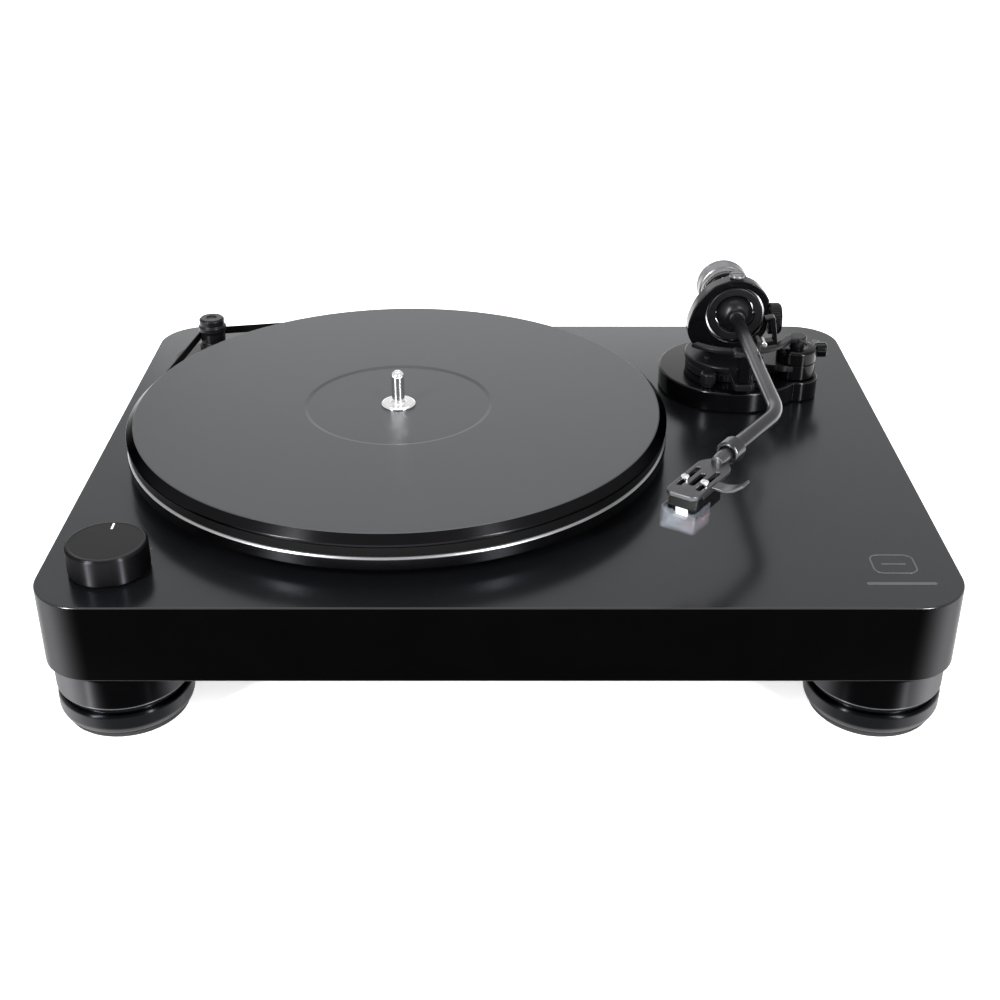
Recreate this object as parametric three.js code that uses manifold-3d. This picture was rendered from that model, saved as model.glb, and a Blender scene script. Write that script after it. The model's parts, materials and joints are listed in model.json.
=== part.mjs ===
// Belt-drive record player: square plinth on four round feet, platter with a rim belt, bent pick-up arm.
// Millimetres, Z up, origin on the floor under the middle of the plinth, front at -Y.
import * as THREE from "three";
import { mergeVertices } from "three/addons/utils/BufferGeometryUtils.js";
import Module from "manifold-3d";

const wasm = await Module();
wasm.setup();

// ---------------------------------------------------------------- driving dimensions
const GAP = 0.3;

const PLINTH = { x: 225, y: 176, low: 38, top: 80, corner: 28, roof: 68, wall: 22 };
const CORNER_BLOCK = { x: 150, y: 100 };
const COVER = { low: 38.3, top: 40.8, lip: 6 };

const FOOT = { x: 190.5, y: 140, r: 34, groove: 31, ringTop: 15.5, capLow: 18.5, studR: 4, studTop: 49.5 };

const PLATTER = { x: -57, y: 0, r: 151.5, topR: 147, low: 83.3, top: 104, beltLow: 92.5, beltTop: 98.3, beltR: 149.4 };
const SPINDLE = { shaftR: 4.8, foot: 52, hubR: 16, bushR: 8, flangeR: 9.8, pinR: 3.6, tip: 124 };
const PULLEY = { x: -184, y: 121, r: 8.8, beltR: 7.7, low: 84, top: 108 };
const BELT = { clear: GAP, thick: 0.8, low: 93, top: 97.8 };
const MOTOR = { r: 17.5, low: 53, top: 78.3, cavityR: 19.5, cavityLow: 52, plateR: 25 };
const KNOB = { x: -190.5, y: -140, r: 20, low: 80.8, top: 95.5, stemR: 3 };

const REAR = { x0: 38, x1: 138, z0: 44, z1: 66, face: 165, plate: 2, row: 53 };

const PIVOT = { x: 142.5, y: 79, z: 128 };
const ARM = { out: 1, bend: 35.5, first: 142, tubeR: 4, tubeEnd: 54, hubR: 11.2, hubHalf: 9.5, bendR: 22 };
const BASE = { r: 43.5, top: 93 };
const TURRET = { x: 180, y: 66, r: 12 };
const FLANGE = { r: 28, low: 98.6, top: 102.6, postR: 15 };
const REST = { along: 46 };

// ---------------------------------------------------------------- small tools
const rad = (d) => (d * Math.PI) / 180;

function solid(geometry) {
  const g = geometry.clone();
  g.deleteAttribute("normal");
  g.deleteAttribute("uv");
  const merged = mergeVertices(g, 1e-4);
  const body = new wasm.Manifold(
    new wasm.Mesh({
      numProp: 3,
      vertProperties: merged.attributes.position.array,
      triVerts: new Uint32Array(merged.index.array),
    }),
  );
  return body;
}

function geometryOf(body) {
  const m = body.getMesh();
  const positions = new Float32Array(m.numVert * 3);
  for (let i = 0; i < m.numVert; i++) {
    positions.set(m.vertProperties.subarray(i * m.numProp, i * m.numProp + 3), i * 3);
  }
  const g = new THREE.BufferGeometry();
  g.setAttribute("position", new THREE.BufferAttribute(positions, 3));
  g.setIndex(new THREE.BufferAttribute(new Uint32Array(m.triVerts), 1));
  g.computeVertexNormals();
  return g;
}

function join(...parts) {
  return geometryOf(parts.map(solid).reduce((a, b) => a.add(b)));
}

function cut(body, ...tools) {
  return geometryOf(tools.map(solid).reduce((a, b) => a.subtract(b), solid(body)));
}

// A profile of [radius, height] pairs, bottom to top on the outside, turned round +Z.
function turned(profile, segments = 24) {
  const g = new THREE.LatheGeometry(
    profile.map(([r, z]) => new THREE.Vector2(r, z)),
    segments,
  );
  return g.rotateX(Math.PI / 2);
}

function disc(r, z0, z1, x = 0, y = 0, segments = 24) {
  return turned([[0, z0], [r, z0], [r, z1], [0, z1]], segments).translate(x, y, 0);
}

function ring(inner, outer, z0, z1, segments = 24) {
  return turned([[inner, z0], [outer, z0], [outer, z1], [inner, z1], [inner, z0]], segments);
}

function box(x0, x1, y0, y1, z0, z1) {
  return new THREE.BoxGeometry(x1 - x0, y1 - y0, z1 - z0).translate((x0 + x1) / 2, (y0 + y1) / 2, (z0 + z1) / 2);
}

function plate(outline, z0, z1, segments = 8) {
  const shape = Array.isArray(outline) ? new THREE.Shape(outline.map(([x, y]) => new THREE.Vector2(x, y))) : outline;
  const g = new THREE.ExtrudeGeometry(shape, { depth: z1 - z0, bevelEnabled: false, curveSegments: segments });
  return g.translate(0, 0, z0);
}

// Lays a piece made round +Z along a direction, with its own zero at a point.
function along(g, direction, at) {
  const turn = new THREE.Quaternion().setFromUnitVectors(
    new THREE.Vector3(0, 0, 1),
    new THREE.Vector3(...direction).normalize(),
  );
  return g.applyQuaternion(turn).translate(...at);
}

function roundedSlab(hx, hy, r) {
  const s = new THREE.Shape();
  s.moveTo(-hx + r, -hy);
  s.lineTo(hx - r, -hy);
  s.absarc(hx - r, -hy + r, r, -Math.PI / 2, 0);
  s.lineTo(hx, hy - r);
  s.absarc(hx - r, hy - r, r, 0, Math.PI / 2);
  s.lineTo(-hx + r, hy);
  s.absarc(-hx + r, hy - r, r, Math.PI / 2, Math.PI);
  s.lineTo(-hx, -hy + r);
  s.absarc(-hx + r, -hy + r, r, Math.PI, Math.PI * 1.5);
  return s;
}

// A rectangle whose four corners are left out, grown by a margin.
function crossOutline(grow) {
  const hx = PLINTH.x - PLINTH.wall + grow;
  const hy = PLINTH.y - PLINTH.wall + grow;
  const cx = CORNER_BLOCK.x + grow;
  const cy = CORNER_BLOCK.y + grow;
  return [
    [-cx, -hy], [cx, -hy], [cx, -cy], [hx, -cy], [hx, cy], [cx, cy],
    [cx, hy], [-cx, hy], [-cx, cy], [-hx, cy], [-hx, -cy], [-cx, -cy],
  ];
}

// The outline of a belt laid round two circles, as points.
function beltOutline(a, ra, b, rb, stepsA, stepsB) {
  const lean = Math.acos((ra - rb) / Math.hypot(b.x - a.x, b.y - a.y));
  const heading = Math.atan2(b.y - a.y, b.x - a.x);
  const points = [];
  for (let i = 0; i <= stepsA; i++) {
    const t = heading + lean + ((2 * Math.PI - 2 * lean) * i) / stepsA;
    points.push(new THREE.Vector2(a.x + ra * Math.cos(t), a.y + ra * Math.sin(t)));
  }
  for (let i = 0; i <= stepsB; i++) {
    const t = heading - lean + (2 * lean * i) / stepsB;
    points.push(new THREE.Vector2(b.x + rb * Math.cos(t), b.y + rb * Math.sin(t)));
  }
  return points;
}

// A round bar that follows level points, closed at both ends.
function bar(points, r, z, segments = 14) {
  const positions = [];
  const index = [];
  const n = points.length;
  points.forEach(([x, y], i) => {
    const before = points[Math.max(i - 1, 0)];
    const after = points[Math.min(i + 1, n - 1)];
    const dx = after[0] - before[0];
    const dy = after[1] - before[1];
    const l = Math.hypot(dx, dy);
    for (let k = 0; k < segments; k++) {
      const t = (2 * Math.PI * k) / segments;
      positions.push(x + (dy / l) * r * Math.cos(t), y - (dx / l) * r * Math.cos(t), z + r * Math.sin(t));
    }
  });
  const first = positions.length / 3;
  positions.push(points[0][0], points[0][1], z, points[n - 1][0], points[n - 1][1], z);
  for (let i = 0; i < n - 1; i++) {
    for (let k = 0; k < segments; k++) {
      const a = i * segments + k;
      const b = i * segments + ((k + 1) % segments);
      index.push(a, a + segments, b, b, a + segments, b + segments);
    }
  }
  for (let k = 0; k < segments; k++) {
    const next = (k + 1) % segments;
    index.push(first, k, next);
    index.push(first + 1, (n - 1) * segments + next, (n - 1) * segments + k);
  }
  const g = new THREE.BufferGeometry();
  g.setAttribute("position", new THREE.Float32BufferAttribute(positions, 3));
  g.setIndex(index);
  if (solid(g).volume() < 0) {
    for (let i = 0; i < index.length; i += 3) [index[i + 1], index[i + 2]] = [index[i + 2], index[i + 1]];
    g.setIndex(index);
  }
  return g;
}

// ---------------------------------------------------------------- materials
const LOOKS = {
  black_satin: [0x26282a, 0.35, 0.0],
  black_plastic: [0x17181a, 0.4, 0.0],
  platter: [0x505254, 0.5, 0.0],
  rubber: [0x141414, 0.9, 0.0],
  steel: [0xc4c6c8, 0.25, 1.0],
  grey_metal: [0x6b6c70, 0.4, 0.9],
  dark_metal: [0x2b2c2f, 0.35, 0.9],
  clear: [0xa8c8e8, 0.1, 0.0],
  board: [0x1d4a30, 0.6, 0.0],
};

const root = new THREE.Group();
root.name = "record_player";

function add(name, geometry, look) {
  const [color, roughness, metalness] = LOOKS[look];
  const mesh = new THREE.Mesh(geometry, new THREE.MeshStandardMaterial({ color, roughness, metalness }));
  mesh.name = name;
  root.add(mesh);
  return mesh;
}

// ---------------------------------------------------------------- plinth and its cover
const SCREWS = [["fl", -1, -1], ["fr", 1, -1], ["rl", -1, 1], ["rr", 1, 1]];
const SCREW_AT = { x: 100, y: 157 };

function plinth() {
  const slab = plate(roundedSlab(PLINTH.x, PLINTH.y, PLINTH.corner), PLINTH.low, PLINTH.top, 7);
  const tools = [
    plate(crossOutline(0), PLINTH.low - 1, PLINTH.roof),
    plate(crossOutline(COVER.lip), PLINTH.low - 1, COVER.top + GAP),
    disc(13.4, 60, 90, PLATTER.x, PLATTER.y),
    disc(FLANGE.postR + 0.6, 60, 90, PIVOT.x, PIVOT.y),
    disc(MOTOR.cavityR, MOTOR.cavityLow, 90, PULLEY.x, PULLEY.y),
    box(-175, -140, 90, 104, MOTOR.cavityLow, 64),
    disc(KNOB.stemR + 0.4, 60, 90, KNOB.x, KNOB.y, 16),
    box(-200, -140, -152, -128, 55, 68.5),
    box(REAR.x0, REAR.x1, 140, 190, REAR.z0, REAR.z1),
  ];
  for (const [, sx, sy] of SCREWS) {
    tools.push(disc(FOOT.studR + 0.4, 30, FOOT.studTop + 1, sx * FOOT.x, sy * FOOT.y, 16));
    tools.push(disc(1.8, 35, 53, sx * SCREW_AT.x, sy * SCREW_AT.y, 10));
  }
  add("plinth", cut(slab, ...tools), "black_satin");
}

function bottomCover() {
  const sheet = plate(crossOutline(COVER.lip - GAP), COVER.low, COVER.top);
  const holes = SCREWS.map(([, sx, sy]) => disc(1.9, 30, 50, sx * SCREW_AT.x, sy * SCREW_AT.y, 10));
  add("bottom_cover", cut(sheet, ...holes), "black_plastic");
  for (const [place, sx, sy] of SCREWS) {
    const screw = turned([[0, 36.4], [2.6, 36.4], [3, 37], [3, 38], [1.5, 38], [1.5, 51], [0, 52]], 10);
    add("cover_screw_" + place, screw.translate(sx * SCREW_AT.x, sy * SCREW_AT.y, 0), "dark_metal");
  }
}

// ---------------------------------------------------------------- feet
function feet() {
  for (const [place, sx, sy] of SCREWS) {
    const x = sx * FOOT.x;
    const y = sy * FOOT.y;
    const cap = turned([
      [0, FOOT.capLow], [FOOT.r - 1, FOOT.capLow], [FOOT.r, FOOT.capLow + 1], [FOOT.r, 36.6],
      [FOOT.r - 1, 37.7], [FOOT.studR, 37.7], [FOOT.studR, FOOT.studTop], [0, FOOT.studTop],
    ], 24);
    const base = turned([
      [0, 3.3], [FOOT.r - 2, 3.3], [FOOT.r, 5], [FOOT.r, FOOT.ringTop - 1], [FOOT.r - 1, FOOT.ringTop],
      [FOOT.groove, FOOT.ringTop], [FOOT.groove, FOOT.capLow - GAP], [0, FOOT.capLow - GAP],
    ], 24);
    const pad = turned([[0, 0], [FOOT.r - 4, 0], [FOOT.r - 3, 1], [FOOT.r - 3, 3], [0, 3]], 24);
    add("foot_cap_" + place, cap.translate(x, y, 0), "black_plastic");
    add("foot_base_" + place, base.translate(x, y, 0), "black_plastic");
    add("foot_pad_" + place, pad.translate(x, y, 0), "rubber");
  }
}

// ---------------------------------------------------------------- platter, bearing and drive
function bearing() {
  const housing = turned([
    [0, 41.3], [13, 41.3], [13, 80.3], [22, 80.3], [22, 82.4], [SPINDLE.shaftR + 0.3, 82.4],
    [SPINDLE.shaftR + 0.3, 45.4], [0, 45.4],
  ], 24);
  add("bearing_housing", housing.translate(PLATTER.x, PLATTER.y, 0), "steel");
  const ball = new THREE.SphereGeometry(3, 12, 8).rotateX(Math.PI / 2);
  add("thrust_ball", ball.translate(PLATTER.x, PLATTER.y, 48.7), "steel");
  const spindle = turned([
    [0, SPINDLE.foot], [SPINDLE.shaftR, SPINDLE.foot], [SPINDLE.shaftR, 84], [SPINDLE.hubR, 84],
    [SPINDLE.hubR, 88], [SPINDLE.bushR, 88], [SPINDLE.bushR, 103.6], [SPINDLE.flangeR, 103.6],
    [SPINDLE.flangeR, 104.2], [SPINDLE.flangeR - 0.8, 104.8],
    [SPINDLE.pinR, 104.8], [SPINDLE.pinR, SPINDLE.tip - 3], [SPINDLE.pinR * 0.75, SPINDLE.tip - 1], [0, SPINDLE.tip],
  ], 20);
  add("spindle", spindle.translate(PLATTER.x, PLATTER.y, 0), "steel");
}

function platter() {
  const p = PLATTER;
  const disk = turned([
    [SPINDLE.hubR + 0.4, p.low], [p.r - 2.5, p.low], [p.r, p.low + 2.5], [p.r, p.beltLow],
    [p.beltR, p.beltLow], [p.beltR, p.beltTop], [p.r, p.beltTop], [p.r, 100], [p.topR, p.top],
    [53, p.top], [51, p.top - 0.6],
    [SPINDLE.bushR + 0.4, p.top - 0.6], [SPINDLE.bushR + 0.4, 88.4], [SPINDLE.hubR + 0.4, 88.4],
    [SPINDLE.hubR + 0.4, p.low],
  ], 60);
  add("platter", disk.translate(p.x, p.y, 0), "platter");
}

function drive() {
  const inner = beltOutline(PLATTER, PLATTER.beltR + BELT.clear + 0.2, PULLEY, PULLEY.beltR + BELT.clear, 60, 8);
  const outer = beltOutline(
    PLATTER, PLATTER.beltR + BELT.clear + 0.2 + BELT.thick, PULLEY, PULLEY.beltR + BELT.clear + BELT.thick, 60, 8,
  );
  const loop = new THREE.Shape(outer);
  loop.holes.push(new THREE.Path(inner));
  add("drive_belt", plate(loop, BELT.low, BELT.top), "rubber");
  const pulley = turned([
    [1.6, PULLEY.low], [PULLEY.r, PULLEY.low], [PULLEY.r, 91], [PULLEY.beltR, 92.2], [PULLEY.beltR, 98.6],
    [PULLEY.r, 99.8], [PULLEY.r, 103], [PULLEY.r - 1, 104], [PULLEY.r - 1, 107], [PULLEY.r - 2, PULLEY.top],
    [0, PULLEY.top], [0, 104.3], [1.6, 104.3], [1.6, PULLEY.low],
  ], 20);
  add("motor_pulley", pulley.translate(PULLEY.x, PULLEY.y, 0), "dark_metal");
  add("motor_shaft", disc(1.3, 70, 104, PULLEY.x, PULLEY.y, 12), "steel");
  const can = turned([
    [1.6, MOTOR.low], [MOTOR.r, MOTOR.low], [MOTOR.r, MOTOR.top], [5, MOTOR.top], [5, 79.8], [1.6, 79.8],
    [1.6, MOTOR.low],
  ], 24);
  add("motor_body", can.translate(PULLEY.x, PULLEY.y, 0), "steel");
  const cover = turned([
    [6, 80.3], [MOTOR.plateR, 80.3], [MOTOR.plateR, 81.2], [MOTOR.plateR - 0.7, 81.8], [6, 81.8], [6, 80.3],
  ], 24);
  add("motor_plate", cover.translate(PULLEY.x, PULLEY.y, 0), "black_plastic");
}

function speedControl() {
  const knob = join(
    turned([
      [0, KNOB.low], [KNOB.r - 0.6, KNOB.low], [KNOB.r, KNOB.low + 0.6], [KNOB.r, KNOB.top - 1],
      [KNOB.r - 1, KNOB.top], [0, KNOB.top],
    ], 32),
    disc(KNOB.stemR, 60, 82, 0, 0, 16),
  );
  add("speed_knob", knob.translate(KNOB.x, KNOB.y, 0), "black_plastic");
  const body = cut(
    box(KNOB.x - 9, KNOB.x + 11, KNOB.y - 11, KNOB.y + 11, 56.5, 68),
    disc(KNOB.stemR + 0.3, 59.5, 90, KNOB.x, KNOB.y, 16),
  );
  add("speed_switch", body, "black_plastic");
}

// ---------------------------------------------------------------- electronics and rear terminals
const TERMINALS = { left: 108, right: 124, ground: 90, power: 52, output: 71 };
const SLIDER = { half: 1.8, travel: 2 };

function electronics() {
  add("circuit_board", box(42, 134, 96, 150, 55, 56.6), "board");
  const panel = cut(
    box(REAR.x0 + GAP, REAR.x1 - GAP, REAR.face - REAR.plate, REAR.face, REAR.z0 + GAP, REAR.z1 - GAP),
    ...[TERMINALS.left, TERMINALS.right].map((x) => along(disc(3.4, -5, 5, 0, 0, 16), [0, 1, 0], [x, 164, REAR.row])),
    along(disc(2.4, -5, 5, 0, 0, 12), [0, 1, 0], [TERMINALS.ground, 164, REAR.row]),
    along(disc(5.4, -5, 5, 0, 0, 20), [0, 1, 0], [TERMINALS.power, 164, REAR.row]),
    box(TERMINALS.output - 4.4, TERMINALS.output + 4.4, 160, 168, REAR.row - 2.2, REAR.row + 2.2),
  );
  add("terminal_panel", panel, "black_plastic");
  for (const side of ["left", "right"]) {
    const jack = turned([
      [0, -7], [3, -7], [3, GAP], [5, GAP], [5, 2], [4.1, 2], [4.1, 9.5], [1.7, 9.5], [1.7, 3], [0, 3],
    ], 16);
    add("signal_jack_" + side, along(jack, [0, 1, 0], [TERMINALS[side], REAR.face, REAR.row]), "steel");
  }
  const post = turned([[0, -7], [2, -7], [2, GAP], [4, GAP], [4, 1.5], [2, 1.5], [2, 9.5], [0, 9.5]], 12);
  add("ground_post", along(post, [0, 1, 0], [TERMINALS.ground, REAR.face, REAR.row]), "steel");
  const nut = ring(2.4, 4.6, 3, 8, 14);
  add("ground_nut", along(nut, [0, 1, 0], [TERMINALS.ground, REAR.face, REAR.row]), "steel");
  const inlet = turned([
    [0, -9], [5, -9], [5, 1.4], [2.9, 1.4], [2.9, -6], [1, -6], [1, 0.4], [0, 0.4],
  ], 16);
  add("power_inlet", along(inlet, [0, 1, 0], [TERMINALS.power, REAR.face, REAR.row]), "black_plastic");
  const x = TERMINALS.output;
  const slider = join(
    box(x - SLIDER.half, x + SLIDER.half, 160, 168, REAR.row - 1.7, REAR.row + 1.7),
    box(x - SLIDER.half - 1, x + SLIDER.half + 1, 158.5, 161, REAR.row - 3, REAR.row + 3),
  );
  add("output_slider", slider, "black_plastic");
}

// ---------------------------------------------------------------- pick-up arm: fixed parts
const first = new THREE.Vector3(Math.sin(rad(ARM.out)), -Math.cos(rad(ARM.out)), 0);
const bendPoint = new THREE.Vector3(PIVOT.x, PIVOT.y, PIVOT.z).addScaledVector(first, ARM.first);
const headAngle = rad(ARM.out - ARM.bend);
const forward = new THREE.Vector3(Math.sin(headAngle), -Math.cos(headAngle), 0);
const outward = new THREE.Vector3(-forward.y, forward.x, 0);

// Carries a piece drawn as (along the head, outwards, up from the tube's axis) into place.
function onHead(g) {
  const m = new THREE.Matrix4().makeBasis(forward, outward, new THREE.Vector3(0, 0, 1));
  m.setPosition(bendPoint);
  return g.applyMatrix4(m);
}

function atPivot(g) {
  return g.translate(PIVOT.x, PIVOT.y, PIVOT.z);
}

function armBase() {
  const body = cut(
    join(
      turned([[0, 80.3], [BASE.r, 80.3], [BASE.r, BASE.top - 1.5], [BASE.r - 1.5, BASE.top], [0, BASE.top]], 32)
        .translate(PIVOT.x, PIVOT.y, 0),
      turned([[0, 80.3], [14, 80.3], [14, BASE.top - 1.5], [12.5, BASE.top], [0, BASE.top]], 24)
        .translate(TURRET.x, TURRET.y, 0),
    ),
    disc(FLANGE.postR + 0.6, 70, 100, PIVOT.x, PIVOT.y, 24),
    disc(2.3, 86, 100, PIVOT.x - 17.5, PIVOT.y - 31.5, 10),
  );
  add("arm_base", body, "black_plastic");
  const heightRing = turned([
    [FLANGE.postR + 0.6, 93.3], [27.3, 93.3], [27.3, 97.5], [26.5, 98.3], [FLANGE.postR + 0.6, 98.3],
    [FLANGE.postR + 0.6, 93.3],
  ], 24);
  add("height_ring", heightRing.translate(PIVOT.x, PIVOT.y, 0), "dark_metal");
  const lock = turned([[0, 87], [2, 87], [2, 93.3], [4.5, 93.3], [4.5, 101], [3.8, 102], [0, 102]], 14);
  add("height_lock_knob", lock.translate(PIVOT.x - 17.5, PIVOT.y - 31.5, 0), "dark_metal");
}

function armColumn() {
  const rest = new THREE.Vector3(PIVOT.x, PIVOT.y, 0).addScaledVector(first, REST.along);
  const post = disc(FLANGE.postR, 60, FLANGE.top, PIVOT.x, PIVOT.y, 24);
  const flange = disc(FLANGE.r, FLANGE.low, FLANGE.top, PIVOT.x, PIVOT.y, 24);
  const skirt = disc(TURRET.r, 93.8, FLANGE.top, TURRET.x, TURRET.y, 24);
  const bridge = plate([[160, 58], [178, 54.2], [183, 77.6], [160, 94]], FLANGE.low, FLANGE.top);
  const tongue = box(rest.x - 6, rest.x + 6, rest.y - 6, PIVOT.y - 20, FLANGE.low, FLANGE.top);
  const body = cut(
    join(post, flange, skirt, bridge, tongue),
    disc(4.4, 80, 110, TURRET.x, TURRET.y, 14),
    disc(5, 50, 110, PIVOT.x, PIVOT.y + 9, 12),
  );
  add("arm_column", body, "black_plastic");
}

function gimbalFrame() {
  const hoop = ring(17.5, 22, -5, 5, 28).rotateX(Math.PI / 2);
  const foot = FLANGE.top + GAP - PIVOT.z;
  const cheek = plate(
    [[-4, 21.5], [-15, 17.5], [-24, 7], [-28, -5], [-28, -13], [-24, -20], [-15, foot], [11, foot], [11, -18.5], [-4, -19.5]],
    -5, 5,
  ).rotateX(Math.PI / 2);
  const pin = along(disc(2, 17, 25.5, 0, 0, 12), [1, 0, 0], [0, -2.8, -3]);
  const body = cut(
    join(hoop, cheek),
    disc(17.5, -8, 8, 0, 0, 28).rotateX(Math.PI / 2),
    box(20, 30, -10, 10, -14, 14),
    disc(2.3, 15, 30, 0, 0, 12),
    disc(2.3, -21, -15, 0, 0, 12),
  );
  add("gimbal_frame", atPivot(join(body, pin)), "dark_metal");
  const screw = cut(
    turned([[0, 19.6], [2, 19.6], [2, 22.3], [4.5, 22.3], [4.5, 23.8], [3.8, 24.5], [0, 24.5]], 16),
    box(-6, 6, -0.5, 0.5, 23.6, 26),
  );
  add("pivot_screw", atPivot(screw), "steel");
}

function antiskateDial() {
  const dial = turned([
    [2.3, 20.3], [8.8, 20.3], [9.5, 21], [9.5, 27], [8.6, 28], [0, 28], [0, 26], [2.3, 26], [2.3, 20.3],
  ], 24);
  add("antiskate_dial", atPivot(along(dial, [1, 0, 0], [0, -2.8, -3])), "black_plastic");
}

// ---------------------------------------------------------------- pick-up arm: moving parts
function armTube() {
  const yawRing = cut(
    join(
      ring(11.8, 16.7, -4, 4, 28).rotateX(Math.PI / 2),
      disc(1.7, 14, 19.2, 0, 0, 10),
      disc(1.7, -20, -14, 0, 0, 10),
    ),
    along(disc(2, -20, 20, 0, 0, 10), [1, 0, 0], [0, 0, 0]),
  );
  add("gimbal_ring", atPivot(yawRing), "dark_metal");

  const ball = [];
  for (let k = -4; k <= 4; k++) {
    const z = (ARM.hubHalf * k) / 4;
    ball.push([Math.sqrt(ARM.hubR ** 2 - z ** 2), z]);
  }
  const hub = along(
    turned([[0, -12], [5.9, -12], ...ball, [5, 13], [0, 13]], 24),
    first.toArray(),
    [PIVOT.x, PIVOT.y, PIVOT.z],
  );
  const pins = along(disc(1.6, -14.8, 14.8, 0, 0, 10), [1, 0, 0], [PIVOT.x, PIVOT.y, PIVOT.z]);
  const path = [];
  const at = (d, s) => [bendPoint.x + d.x * s, bendPoint.y + d.y * s];
  path.push([PIVOT.x + first.x * 10, PIVOT.y + first.y * 10]);
  const reach = ARM.bendR * Math.tan(rad(ARM.bend / 2)) * 1.6;
  const a = at(first, -reach);
  const b = at(forward, reach);
  for (let i = 0; i <= 8; i++) {
    const t = i / 8;
    const u = 1 - t;
    path.push([0, 1].map((k) => u * u * a[k] + 2 * u * t * bendPoint.getComponent(k) + t * t * b[k]));
  }
  path.push(at(forward, ARM.tubeEnd));
  add("arm_tube", join(hub, pins, bar(path, ARM.tubeR, PIVOT.z)), "grey_metal");
}

function head() {
  const collar = along(
    turned([[4.3, 49], [5.4, 49], [6.2, 50], [6.2, 58], [5.4, 59], [4.3, 59], [4.3, 49]], 20),
    [1, 0, 0],
    [0, 0, 0],
  );
  add("headshell_collar", onHead(collar), "dark_metal");
  const shell = cut(
    join(
      plate([[65, -4.6], [71, -8.6], [104, -8.6], [107, -6.4], [107, 6.4], [104, 8.6], [71, 8.6], [65, 4.6]], -3, -0.6),
      along(disc(3.6, ARM.tubeEnd + GAP, 70, 0, 0, 16), [1, 0, 0], [0, 0, 0]),
    ),
    box(77, 99, 3.9, 6.4, -5, 3),
    box(77, 99, -6.4, -3.9, -5, 3),
  );
  add("headshell", onHead(shell), "grey_metal");
  const blade = [[8.9, -2.6], [15, -2.6], [20, -1], [25, 3.2], [24, 4.6], [19, 0.6], [14.6, -1], [8.9, -1]];
  const lift = plate(blade, -4, 4).applyMatrix4(
    new THREE.Matrix4().makeBasis(
      new THREE.Vector3(0, 1, 0), new THREE.Vector3(0, 0, 1), new THREE.Vector3(1, 0, 0),
    ),
  );
  add("finger_lift", onHead(lift.translate(88, 0, 0)), "grey_metal");
  const side = [[78, -14.5], [103, -14.5], [104, -9], [102, -3.3], [78, -3.3]];
  const body = plate(side, -8, 8).applyMatrix4(
    new THREE.Matrix4().makeBasis(
      new THREE.Vector3(1, 0, 0), new THREE.Vector3(0, 0, 1), new THREE.Vector3(0, -1, 0),
    ),
  );
  add("cartridge_body", onHead(body), "black_plastic");
  const stylus = join(
    box(82, 97, -5, 5, -17.2, -14.8),
    box(95, 100.5, -0.6, 0.6, -17.6, -16.4),
    box(99.4, 100.4, -0.4, 0.4, -18.2, -17),
  );
  add("stylus_unit", onHead(stylus), "black_plastic");
  const guard = cut(box(91, 108.8, -9.3, 9.3, -19.6, -9), box(80, 107.6, -8.4, 8.4, -18.8, 0));
  add("stylus_guard", onHead(guard), "clear");
}

function counterweight() {
  const back = first.clone().negate().toArray();
  const at = [PIVOT.x, PIVOT.y, PIVOT.z];
  const stub = turned([[0, 12.4], [5, 12.4], [5, 22], [4.6, 22.4], [4.6, 60], [0, 60]], 16);
  add("counterweight_stub", along(stub, back, at), "steel");
  const dial = turned([[5.3, 25], [14.6, 25], [15.5, 26], [15.5, 30], [5.3, 30], [5.3, 25]], 24);
  add("force_dial", along(dial, back, at), "black_plastic");
  const weight = turned([
    [5.3, 30.3], [15.5, 30.3], [15.5, 34], [15, 34.6], [15, 36], [16, 36.6], [16, 49], [14.6, 50.4], [5.3, 50.4],
    [5.3, 30.3],
  ], 24);
  add("counterweight", along(weight, back, at), "grey_metal");
}

// ---------------------------------------------------------------- cueing and arm rest
const LEVER = { y: 70, z: 107.2, down: 8 };
const LIFTER = { r0: 32.5, r1: 37.5, low: 115.4, top: 118 };

function cueing() {
  const housing = cut(
    turned([[0, 102.9], [TURRET.r, 102.9], [TURRET.r, 110.6], [TURRET.r - 1, 111.6], [0, 111.6]], 24)
      .translate(TURRET.x, TURRET.y, 0),
    disc(4.4, 100, 120, TURRET.x, TURRET.y, 14),
    along(disc(2.3, 5.5, 20, 0, 0, 12), [1, 0, 0], [TURRET.x, LEVER.y, LEVER.z]),
  );
  add("cue_housing", housing, "black_plastic");

  const arc = new THREE.Shape();
  arc.absarc(PIVOT.x, PIVOT.y, LIFTER.r1, rad(-138), rad(-22), false);
  arc.absarc(PIVOT.x, PIVOT.y, LIFTER.r0, rad(-22), rad(-138), true);
  const lifter = join(
    plate(arc, LIFTER.low, LIFTER.top, 14),
    disc(5.5, LIFTER.low, LIFTER.top, TURRET.x, TURRET.y, 16),
    plate([[170.4, 61], [179, 61], [180, 70.5], [172.8, 66]], LIFTER.low, LIFTER.top),
    disc(4, 97, LIFTER.low + 1, TURRET.x, TURRET.y, 14),
  );
  add("cue_lifter", lifter, "dark_metal");

  const lever = join(
    along(disc(2, 6, 14, 0, 0, 12), [1, 0, 0], [TURRET.x, LEVER.y, LEVER.z]),
    along(turned([[0, 12.6], [4.5, 12.6], [4.5, 18.4], [3.8, 19], [0, 19]], 16), [1, 0, 0], [
      TURRET.x, LEVER.y, LEVER.z,
    ]),
    box(TURRET.x + 13.4, TURRET.x + 17.6, 0, 18, -1.6, 1.6)
      .rotateX(rad(-LEVER.down))
      .translate(0, LEVER.y, LEVER.z),
  );
  add("cue_lever", lever, "black_plastic");
}

const CLIP = { dx: 9.6, z: 127.2, open: 80 };

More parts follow.
